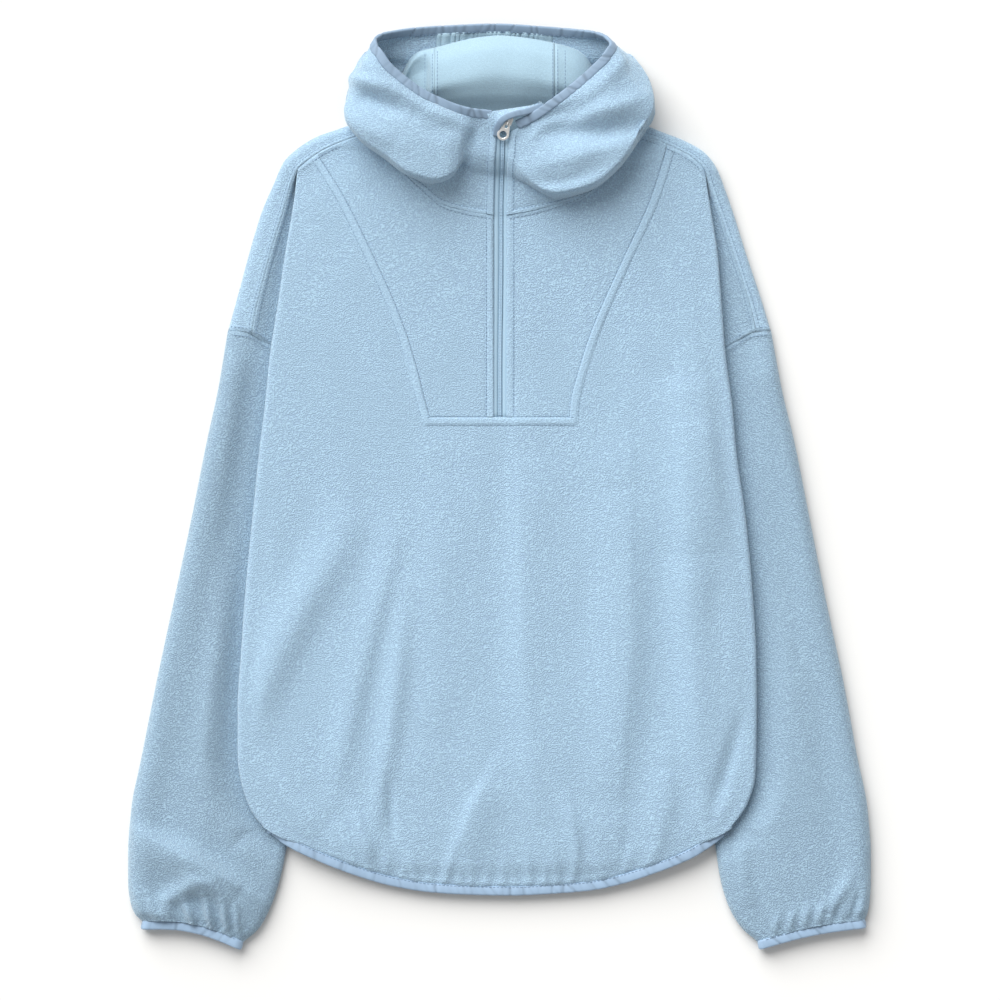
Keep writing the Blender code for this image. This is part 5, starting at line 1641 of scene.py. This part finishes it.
def inner_roll(first, last, count, rows):
    """The visible face of the roll inside the hood between two places across.

    Each profile rises from the back of the neck to its top, slopes down to its far edge and
    turns back under it.
    """
    x = np.linspace(first, last, count)
    crest_y, crest_z = (smooth(x, INNER_ROLL["x"], INNER_ROLL["crest_" + axis]) for axis in "yz")
    neck_y, neck_z = ROLL_NECK
    run, rise = crest_y - neck_y, crest_z - neck_z
    y = np.array([neck_y + share * run for share in ROLL_RISE["along"]]
                 + [crest_y + step for step in ROLL_CREST["y"]])
    z = np.array([neck_z + share * rise for share in ROLL_RISE["up"]]
                 + [crest_z + step for step in ROLL_CREST["z"]])
    z = np.maximum(z, 5.0)
    stops = np.arange(float(len(y)))
    at = np.linspace(0, stops[-1], 90)
    lines = [np.stack([at * 0 + x[k], smooth(at, stops, y[:, k]), smooth(at, stops, z[:, k])],
                      axis=1) for k in range(count)]
    grid = np.array([spaced(line, np.linspace(0, 1, rows)) for line in lines])
    grid[..., 2] += ripple(grid[..., 0], grid[..., 1], 21, 70, 50) * 0.8
    sag = -ROLL_SAG * ease((crest_y[:, None] - grid[..., 1]) / 21) * ease((-61 - grid[..., 0]) / 6)
    relief = folds(grid[..., 0], grid[..., 1], ROLL_FOLD) + sag
    grid[..., 2] += relief * ease((grid[..., 2] - 9) / 8)
    for seam in ROLL_SEAMS:
        grid[..., 2] += 0.9 * bell((grid[..., 0] - seam) / 5)
    return grid


def zip_x(y):
    """The zip bends to the right towards its top."""
    return 1.0 * ease((y - 100) / 110) + 1.6 * ease((y - 245) / 70) + 3.4 * ease((y - 306) / 20)


def zip_z(y):
    """Height of the fleece's outer face along the zip."""
    profile = hood_profiles(HOOD[LEFT], 2)[0][::-1]
    on_hood = np.interp(y, profile[:, 1], profile[:, 2])
    return np.where(y < profile[0, 1], front_z(0 * y, y), on_hood)


def zip_dive(y):
    """How far the zip has gone under the cloth at its foot, from 0 to 1."""
    return ease((FOOT_EDGE + 3 - y) / 4)


def guard_line(count=50):
    """Middle line of the guard's binding, from beside the slider up behind the right rim."""
    rows = np.linspace(0, len(GUARD_BINDING["x"]) - 1, count)
    return np.stack([read(GUARD_BINDING, axis, rows) for axis in "xyz"], axis=1)


def zip_guard():
    """The small flap over the top of the zip, from its binding up to its upper edge."""
    lower = guard_line(40) + np.array([-1.0, 1.0, 0]) * (GUARD_WIDTH / 2 - 0.5) / math.sqrt(2)
    upper = np.linspace(*GUARD_TOP, 40)
    share = np.linspace(0, 1, 14)[:, None, None]
    grid = blend(lower[None], upper[None], share)
    grid[..., 2] += 1.2 * np.sin(math.pi * share[..., 0])
    return grid


# ---- bindings, zip and pull ----

def hem_loop():
    """Middle line of the hem binding: along the front, round a side fold, along the back.

    Towards the side folds the way of its width turns down, so the binding rolls under.
    """
    x = np.linspace(*HEM_ENDS, 240)
    slope = (hem_y(x + 3) - hem_y(x - 3)) / 6
    square = unit(np.stack([slope, -np.ones(len(x))], axis=1))
    front = np.stack([x, hem_y(x)], axis=1) - square * BINDING_WIDTH / 2
    cloth_y = cloth_hem_y(x)
    edge_z = smooth(cloth_y, FRONT_HEIGHT["y"], FRONT_HEIGHT["middle"])
    side_z = smooth(cloth_y, FRONT_HEIGHT["y"], FRONT_HEIGHT["side"])
    front_height = blend(edge_z, side_z, np.clip(np.abs(x) / 207, 0, 1) ** 3) - BINDING_THICK / 2
    front_height = front_height + 0.35 * hem_gathers(x, cloth_y + 1) - 3.4 * (1 - hem_shows(x))
    back = front[1:-1][::-1]
    back = back + np.outer(BACK_SHORTER * ease((205 - np.abs(x[1:-1][::-1])) / 60), (0, 1))
    raised = [over_sleeve(side, *back.T) for side in (LEFT, RIGHT)]
    back_height = LIE_HEIGHT * np.where(back[:, 0] < 0, *raised) + BINDING_THICK / 2 + 0.05
    corner = []
    turn = np.linspace(0, math.pi, 9)[1:-1]
    for k, side in ((-1, RIGHT), (0, LEFT)):
        low, high = LIE_HEIGHT + BINDING_THICK / 2 + 0.05, front_height[k]
        reach = HEM_TURN * np.sin(turn)
        rise = blend(low, high, 0.5 + 0.5 * np.cos(turn))
        bend = np.column_stack([front[k, 0] + side * reach, np.full(len(turn), front[k, 1]), rise])
        corner.append(bend if side == RIGHT else bend[::-1])
    loop = np.vstack([np.column_stack([front, front_height]), corner[0],
                      np.column_stack([back, back_height]), corner[1]])
    outward = np.vstack([square, np.repeat(square[-1:], 7, 0), square[1:-1][::-1],
                         np.repeat(square[:1], 7, 0)])
    return loop, np.column_stack([outward, np.zeros(len(outward))])


def outline_mesh(name, outlines, thick, rounding):
    """A welded mesh of a plate with rounded edges, its outline and holes drawn in its plane."""
    curve = bpy.data.curves.new(name, "CURVE")
    curve.dimensions = "2D"
    curve.fill_mode = "BOTH"
    curve.extrude = (thick / 2 - rounding) * MM
    curve.bevel_depth = rounding * MM
    curve.bevel_resolution = 2
    curve.offset = -rounding * MM
    for outline in outlines:
        spline = curve.splines.new("POLY")
        spline.points.add(len(outline) - 1)
        spline.use_cyclic_u = True
        count = len(outline)
        flat = np.column_stack([np.array(outline) * MM, np.zeros(count), np.ones(count)])
        spline.points.foreach_set("co", flat.ravel())
    drawn = bpy.data.objects.new(name + "_outline", curve)
    bpy.context.scene.collection.objects.link(drawn)
    solid = drawn.evaluated_get(bpy.context.evaluated_depsgraph_get())
    mesh = bpy.data.meshes.new_from_object(solid)
    bpy.data.objects.remove(drawn, do_unlink=True)
    mend(mesh, weld=0.000004)
    mesh.name = name
    return mesh


def place_mesh(mesh, turn_x, turn_z, place):
    """Turns a mesh about X and then Z and moves it, all in its own points."""
    count = len(mesh.vertices)
    points = np.empty(count * 3)
    mesh.vertices.foreach_get("co", points)
    cx, sx, cz, sz = math.cos(turn_x), math.sin(turn_x), math.cos(turn_z), math.sin(turn_z)
    about_x = np.array([[1, 0, 0], [0, cx, -sx], [0, sx, cx]])
    about_z = np.array([[cz, -sz, 0], [sz, cz, 0], [0, 0, 1]])
    points = points.reshape(-1, 3) @ (about_z @ about_x).T + np.array(place) * MM
    mesh.vertices.foreach_set("co", points.ravel())
    mesh.update()


def pull_outlines():
    """A teardrop round a ring and an eye: two straight sides touch the ring's circle."""
    outer, inner = PULL_RING
    eye_from, eye_to, eye_half = PULL_EYE
    lean = math.asin((outer - PULL_NECK) / PULL_REACH)
    arc = np.linspace(lean, -math.pi - lean, 48)
    drop = np.stack([outer * np.cos(arc), outer * np.sin(arc) - PULL_REACH], axis=1).tolist()
    drop += [(-PULL_NECK, -0.2), (-PULL_NECK + 0.6, 0.8), (PULL_NECK - 0.6, 0.8), (PULL_NECK, -0.2)]
    round_arc = np.linspace(0, 2 * math.pi, 37)[:-1]
    ring = np.stack([inner * np.cos(round_arc), inner * np.sin(round_arc) - PULL_REACH], axis=1)
    eye = [(-eye_half, -eye_from), (-eye_half, -eye_to), (eye_half, -eye_to), (eye_half, -eye_from)]
    return [drop, ring.tolist(), eye]


# ---- operators ----

class PULLOVER_OT_front(bpy.types.Operator):
    """Sew the front with its side folds and its two drop shoulders."""

    bl_idname = "pullover.front"
    bl_label = "Front"

    def execute(self, context):
        front = cloth("front", [(front_lower(), False), (front_strip(LEFT), True),
                                (front_strip(RIGHT), False)], "front_panel")
        for side in (LEFT, RIGHT):
            name = "front_arm_" + WORDS[side]
            # The drop shoulders take the sleeves' darker fleece as painted shade, for the shade
            # under the side folds.
            arm = cloth("front_shoulder_" + WORDS[side], [(front_arm(side), side == RIGHT)], name,
                        material=fleece(side))
        return {"FINISHED"}


class PULLOVER_OT_inset(bpy.types.Operator):
    """Sew the two halves of the inset beside the zip."""

    bl_idname = "pullover.inset"
    bl_label = "Inset"

    def execute(self, context):
        for side in (LEFT, RIGHT):
            name = "inset_" + WORDS[side]
            half = cloth(name, [(front_inset(side), side == RIGHT)], "front_" + name)
        return {"FINISHED"}


class PULLOVER_OT_back(bpy.types.Operator):
    """Sew the back, which comes over the shoulders to the front."""

    bl_idname = "pullover.back"
    bl_label = "Back"

    def execute(self, context):
        back = cloth("back", back_grids(), "back_panel")
        return {"FINISHED"}


class PULLOVER_OT_sleeves(bpy.types.Operator):
    """Sew the two wide sleeves, gathered towards their cuffs."""

    bl_idname = "pullover.sleeves"
    bl_label = "Sleeves"

    def execute(self, context):
        for side in (LEFT, RIGHT):
            name = "sleeve_" + WORDS[side]
            arm = cloth("balloon_" + name, [(sleeve_grid(side), side == RIGHT)], name,
                        material=fleece(side), round_it=True)
        return {"FINISHED"}


class PULLOVER_OT_hood(bpy.types.Operator):
    """Sew the hood's outer panels, its centre strip and the roll inside it."""

    bl_idname = "pullover.hood"
    bl_label = "Hood"

    def execute(self, context):
        for side, flip in ((LEFT, False), (RIGHT, True)):
            name = "hood_side_" + WORDS[side]
            grid = hood_panel(HOOD[side], cells(420), cells(200))
            panel = cloth("collar_" + name, [(grid, flip)], name)
        across, down = CROWN_CELLS
        crown = hood_panel(HOOD_CROWN, across, down)
        share = np.linspace(0, 1, across)[:, None]
        below = np.linspace(0, 1, down)[None]
        wave = np.sin(math.pi * 19 * (share + 0.014 * np.sin(37 * share))) ** 2
        crown[..., 2] += 1.5 * wave * (0.6 + 0.4 * np.sin(11 * share)) * bell(below / 0.3)
        strip = cloth("hood_centre_strip", [(crown, False)], "hood_crown", material=lining())
        stops = (-88.0, *ROLL_SEAMS, 86.0)
        for word, first, last, count, area, wide in (("left", *stops[:2], 16, 0.0028, 0.032),
                                                     ("centre", *stops[1:3], 44, 0.0109, 0.108),
                                                     ("right", *stops[2:], 18, 0.0034, 0.038)):
            roll = cloth("hood_roll_" + word, [(inner_roll(first, last, count, 60), False)],
                         "hood_fold_" + word, material=lining())
        guard = cloth("zip_top_guard", [(zip_guard(), True)], "zip_guard")
        return {"FINISHED"}


class PULLOVER_OT_bindings(bpy.types.Operator):
    """Bind the hood, the guard, the hem and the cuffs with creased stretch binding."""

    bl_idname = "pullover.bindings"
    bl_label = "Bindings"

    def execute(self, context):
        pucker = mm(sizes().pucker)
        seed = context.scene.pullover_stage.crease_seed
        knit, hood_knit = stretch_jersey(), stretch_jersey("stretch_binding_hood", 0.75)
        centres, outward = rim_line(560)
        sink = mm(sizes().fleece_thickness) / 2
        band("hood_rim_binding", centres, outward, hood_knit, "binding", "binding_hood", sink=sink,
             pucker=pucker * 1.3, seed=seed)
        rows = [binding_row(centres, outward, slice(4, -4), sink=sink)]
        line = guard_line()
        outward = np.gradient(line, axis=0)[:, [1, 0, 2]] * np.array([1.0, -1.0, 0])
        band("guard_binding", line, outward, hood_knit, "binding", "binding_guard",
             width=GUARD_WIDTH, thick=GUARD_THICK, pucker=pucker * 0.4, seed=seed + 1)
        loop, outward = hem_loop()
        band("hem_stretch_binding", loop, outward, knit, "binding", "binding_hem", closed=True,
             pucker=pucker, seed=seed + 2)
        rows.append(binding_row(loop, outward, slice(10, 230)))
        for side in (LEFT, RIGHT):
            ring, outward = cuff_ring(side)
            band("cuff_stretch_binding_" + WORDS[side], ring, outward, knit, "binding",
                 "binding_cuff_" + WORDS[side], closed=True, pucker=pucker, seed=seed + 3 + side)
            rows.append(binding_row(ring, outward, slice(13, 103)))
        small_parts("binding_stitches", rows, sewing_thread(), "binding")
        return {"FINISHED"}


class PULLOVER_OT_zip(bpy.types.Operator):
    """Make the zip's tapes, its coil, its slider and its ring pull."""

    bl_idname = "pullover.zip"
    bl_label = "Zip"

    def execute(self, context):
        own = context.scene.pullover_zip
        tape = woven("zip_tape_weave", colours().zip_tape)
        y = np.linspace(ZIP_FOOT, ZIP_HEAD, 140)
        drop = TAPE["drop"] + 1.3 * zip_dive(y)[:, None]
        for side in (LEFT, RIGHT):
            out = np.append(TAPE["out"][:-1], mm(own.tape_half)) * side
            grid = np.dstack([zip_x(y)[:, None] + out, np.broadcast_to(y[:, None], drop.shape),
                              zip_z(y)[:, None] - TAPE_BELOW - drop])
            name = "zip_tape_" + WORDS[side]
            mesh = join_grids(name, [(grid, side == RIGHT)])
            wall(sew("woven_" + name, mesh, tape, "zip_fabric", name), own.tape_thickness)
        self.coil(own)
        self.slider(own)
        return {"FINISHED"}

    def coil(self, own):
        """Two rows of rounded turns, side by side along the zip, one beside the other."""
        at = np.arange(FOOT_EDGE - 2, ZIP_HEAD - 7, mm(own.pitch))
        ahead = unit(np.stack([zip_x(at + 1) - zip_x(at - 1), np.full(len(at), 2.0),
                               zip_z(at + 1) - zip_z(at - 1)], axis=1))
        beside = unit(square_to(np.broadcast_to(np.array([1.0, 0, 0]), ahead.shape), ahead))
        over = np.cross(beside, ahead)
        wide, high = mm(own.tooth_width), mm(own.tooth_height)
        size = (wide, mm(own.pitch) * 1.35, high)
        line = np.stack([zip_x(at), at, zip_z(at) - TAPE_BELOW - 1.5 * zip_dive(at)], axis=1)
        parts = []
        for side in (LEFT, RIGHT):
            centres = line + beside * side * (wide / 2 - 0.2) + over * (high / 2 - 1.2)
            parts.append(capsules(centres, beside, over, size, sides=8))
        nylon = woven("coil_nylon", colours().zip_coil, 0.4)
        small_parts("zip_coil_turns", parts, nylon, "zip_fabric", "zip_coil")

    def slider(self, own):
        """A shield-shaped plate, the bridge over it, and the ring pull on its own body."""
        metal = plated_metal()
        turn = math.radians(-PULL_TURN)
        ahead = np.array([math.sin(-turn), math.cos(-turn)])
        low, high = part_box("zip_slider")
        middle = (np.array(low) + np.array(high)) / 2 / MM
        half_w, half_l = SLIDER_HALF
        shield = [(-half_w * 0.7, -half_l), (half_w * 0.7, -half_l), (half_w, -half_l + 1.4),
                  (half_w, half_l - 2.6), (half_w * 0.55, half_l), (-half_w * 0.55, half_l),
                  (-half_w, half_l - 2.6), (-half_w, -half_l + 1.4)]
        plate = outline_mesh("slider_plate", [shield], high[2] / MM - low[2] / MM, 0.45)
        place_mesh(plate, 0, turn, middle)
        sew("slider_plate", plate, metal, "metal", "zip_slider")
        low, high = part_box("zip_bridge")
        x, y = np.array(HINGE_PLACE[:2]) + ahead * 2.4
        foot, crown = low[2] / MM, high[2] / MM - 0.5
        run = np.pad(BRIDGE["run"], 1, mode="edge")
        rise = np.concatenate([[foot], crown - BRIDGE["drop"], [foot]])
        line = np.column_stack([x + ahead[0] * run, y + ahead[1] * run, rise])
        line = spaced(line, np.linspace(0, 1, 40))
        outward = np.broadcast_to(np.array([ahead[1], -ahead[0], 0.0]), line.shape)
        band("slider_bridge", line, outward, metal, "metal", "zip_bridge", width=1.5, thick=1.0,
             sides=12)
        pull = outline_mesh("ring_pull", pull_outlines(), mm(own.pull_thickness), 0.5)
        place_mesh(pull, math.radians(PULL_SLOPE), turn, HINGE_PLACE)
        sew("ring_pull", pull, metal, "metal", "zip_pull", body="zip_pull")


class PULLOVER_OT_stitches(bpy.types.Operator):
    """Sew the rows of stitches that show along the seams, the zip and inside the hood."""

    bl_idname = "pullover.stitches"
    bl_label = "Stitches"

    def execute(self, context):
        rows = []
        for side in (LEFT, RIGHT):
            for part in (self.on_front, self.on_shoulder, self.on_sleeve, self.on_hood):
                rows += part(side)
        foot_x = np.linspace(-INSET_HALF_FOOT, INSET_HALF_FOOT, 80)
        for shift in (-SEAM_ROW, SEAM_ROW):
            keep = np.abs(foot_x) > (ZIP_HALF_GAP + 1 if shift > 0 else -1)
            for part in (foot_x[keep & (foot_x < 0)], foot_x[keep & (foot_x >= 0)]):
                rows.append(self.on_plan(part, np.full(len(part), INSET_FOOT + shift)))
        small_parts("seam_stitches", rows, sewing_thread(), "fleece")
        return {"FINISHED"}

    def on_plan(self, x, y, lift=0.0):
        """A row at places on the front, at the front's own height."""
        def height(px, py):
            return front_z(px, py) + inset_relief(px, py) + lift
        line = np.stack([x, y, height(x, y)], axis=1)
        normals = np.stack([height(x - 1, y) - height(x + 1, y),
                            height(x, y - 1) - height(x, y + 1), np.full(len(x), 2.0)], axis=1)
        return stitch_row(line, unit(normals))

    def on_front(self, side):
        """Both rows of the slanting seam, and the row beside the zip up to the neck."""
        rows = []
        seam, _ = shoulder(side, NECK_TO_INSET[side])
        y = np.linspace(INSET_FOOT + 4, seam[1] - 5, 120)
        for shift in (-SEAM_ROW, SEAM_ROW):
            rows.append(self.on_plan(side * (inset_out(y, side) + shift / INSET_LEAN), y))
        neck_y = HOOD[side]["neck_y"][0]
        y = np.linspace(INSET_FOOT + 5, neck_y - 1.5, 90)
        rows.append(self.on_plan(np.full(len(y), side * (ZIP_HALF_GAP + PLACKET_ROW)), y))
        grid = front_inset(side)[..., :3]
        line, normals = grid_line(grid, SEAM_ROW, axis=0)
        neck_count = int(len(line) * (0.72 if side == LEFT else 0.8))
        rows.append(stitch_row(line[:neck_count], upward(normals[:neck_count]), 2))
        return rows

    def on_shoulder(self, side):
        """A row on each side of the shoulder seam."""
        share = np.linspace(0.02, 0.985, 160)
        line, normals = grid_line(curl_columns(side, share)[..., :3], SEAM_ROW)
        rows = [stitch_row(line, upward(normals), 1)]
        line, normals = grid_line(front_arm(side)[..., :3], SEAM_ROW, far=False)
        keep = np.abs(line[:, 0]) > side_out(line[:, 1], side) + 2
        rows.append(stitch_row(line[keep], upward(normals[keep]), 1))
        seam, _ = shoulder(side, np.linspace(0.06, NECK_TO_FOLD - 0.02, 40))
        ahead = unit(np.gradient(seam[:, :2], axis=0))
        inward = np.stack([ahead[:, 1], -ahead[:, 0]], axis=1) * side
        plan = seam[:, :2]
        plan = plan + inward * SEAM_ROW * np.sign((inward * -plan).sum(1, keepdims=True))
        rows.append(self.on_plan(*plan.T, lift=0.3))
        return rows

    def on_sleeve(self, side):
        """A row on each side of the sleeve seam, where it shows."""
        rows = []
        x = side * np.linspace(side_out(136.0, side) + 4, 243, 30)
        seam, _ = shoulder(side, 0.97)
        for shift, height in ((SEAM_ROW, seam[2] - 0.2), (-SEAM_ROW, 12.0)):
            z = height * np.sqrt(np.clip((246.5 - np.abs(x)) / 8, 0.35, 1))
            line = np.stack([x, armhole_y(x) + shift, z], axis=1)
            rows.append(stitch_row(line, np.broadcast_to(np.array([0, 0, 1.0]), line.shape)))
        return rows

    def on_hood(self, side):
        """The row over the neck seam, the row beside the zip, and those inside the hood."""
        grid = hood_panel(HOOD[side], cells(420), cells(200))[..., :3]
        line, normals = grid_line(grid, SEAM_ROW)
        keep = line[:, 2] > 18
        keep[:3] = False
        rows = [stitch_row(line[keep], upward(normals[keep]))]
        line, normals = grid_line(grid, PLACKET_ROW, axis=0, far=False)
        line, normals = line[4:-2], normals[4:-2]
        rows.append(stitch_row(line, upward(normals)))
        for away in (side * 9.0, 2.2, -2.2):
            at = ROLL_SEAMS[0 if side == LEFT else 1] + away
            strip = inner_roll(at - 1, at + 1, 3, 60)
            rows.append(stitch_row(strip[1, :52], upward(grid_normals(strip)[1, :52]), 2))
        return rows


class PULLOVER_OT_stage(bpy.types.Operator):
    """Lay the floor, and set the light and the camera straight above."""

    bl_idname = "pullover.stage"
    bl_label = "Stage"

    def execute(self, context):
        own = context.scene.pullover_stage
        mesh = bpy.data.meshes.new("floor")
        half = FLOOR_HALF
        corners = [(-half, -half, 0), (half, -half, 0), (half, half, 0), (-half, half, 0)]
        mesh.from_pydata(corners, [], [(0, 1, 2, 3)])
        material, _, shader = material_named("floor_paper")
        shader.inputs["Base Color"].default_value = (*own.floor, 1)
        shader.inputs["Roughness"].default_value = 0.9
        shader.inputs["Specular IOR Level"].default_value = 0.1
        mesh.materials.append(material)
        floor = bpy.data.objects.new("floor", mesh)
        context.scene.collection.objects.link(floor)

        world = bpy.data.worlds.new("studio")
        world.use_nodes = True
        sky = world.node_tree.nodes["Background"]
        sky.inputs["Color"].default_value = (1.0, 1.0, 1.0, 1)
        sky.inputs["Strength"].default_value = own.sky
        context.scene.world = world
        key = bpy.data.lights.new("key_light", "SUN")
        key.energy = own.key
        key.angle = own.key_spread
        lamp = bpy.data.objects.new("key_light", key)
        lamp.rotation_euler = (math.pi / 2 - own.key_height, 0, math.pi + own.key_round)
        context.scene.collection.objects.link(lamp)

        camera = bpy.data.cameras.new("camera")
        camera.lens = SENSOR * own.camera_height / own.frame_width
        camera.sensor_width = SENSOR
        camera.clip_end = 50
        holder = bpy.data.objects.new("camera", camera)
        context.scene.collection.objects.link(holder)
        x, y, z = VIEW_MIDDLE
        holder.location = (x, y, own.camera_height + z)
        context.scene.camera = holder
        context.scene.view_settings.view_transform = "Standard"
        return {"FINISHED"}


class PULLOVER_PT_panel(bpy.types.Panel):
    """Lists the pullover's sizes, colours and pieces."""

    bl_idname = "PULLOVER_PT_panel"
    bl_label = "Pullover"
    bl_space_type = "VIEW_3D"
    bl_region_type = "UI"
    bl_category = "Pullover"

    def draw(self, context):
        for group in GROUPS:
            box = self.layout.box()
            for key in GROUPS[group].__annotations__:
                box.prop(getattr(context.scene, group), key)
        for step in STEPS:
            self.layout.operator(step.bl_idname)


GROUPS = {
    "pullover_cloth": PulloverCloth,
    "pullover_zip": PulloverZip,
    "pullover_colours": PulloverColours,
    "pullover_stage": PulloverStage,
}
STEPS = (PULLOVER_OT_stage, PULLOVER_OT_back, PULLOVER_OT_sleeves, PULLOVER_OT_front,
         PULLOVER_OT_inset, PULLOVER_OT_hood, PULLOVER_OT_bindings, PULLOVER_OT_zip,
         PULLOVER_OT_stitches)


def register():
    for group in (*GROUPS.values(), *STEPS, PULLOVER_PT_panel):
        bpy.utils.register_class(group)
    for name, group in GROUPS.items():
        setattr(bpy.types.Scene, name, PointerProperty(type=group))


def unregister():
    for name in GROUPS:
        delattr(bpy.types.Scene, name)
    for group in reversed((*GROUPS.values(), *STEPS, PULLOVER_PT_panel)):
        bpy.utils.unregister_class(group)


def main():
    register()
    for step in STEPS:
        area, name = step.bl_idname.split(".")
        getattr(getattr(bpy.ops, area), name)()


if __name__ == "__main__":
    main()
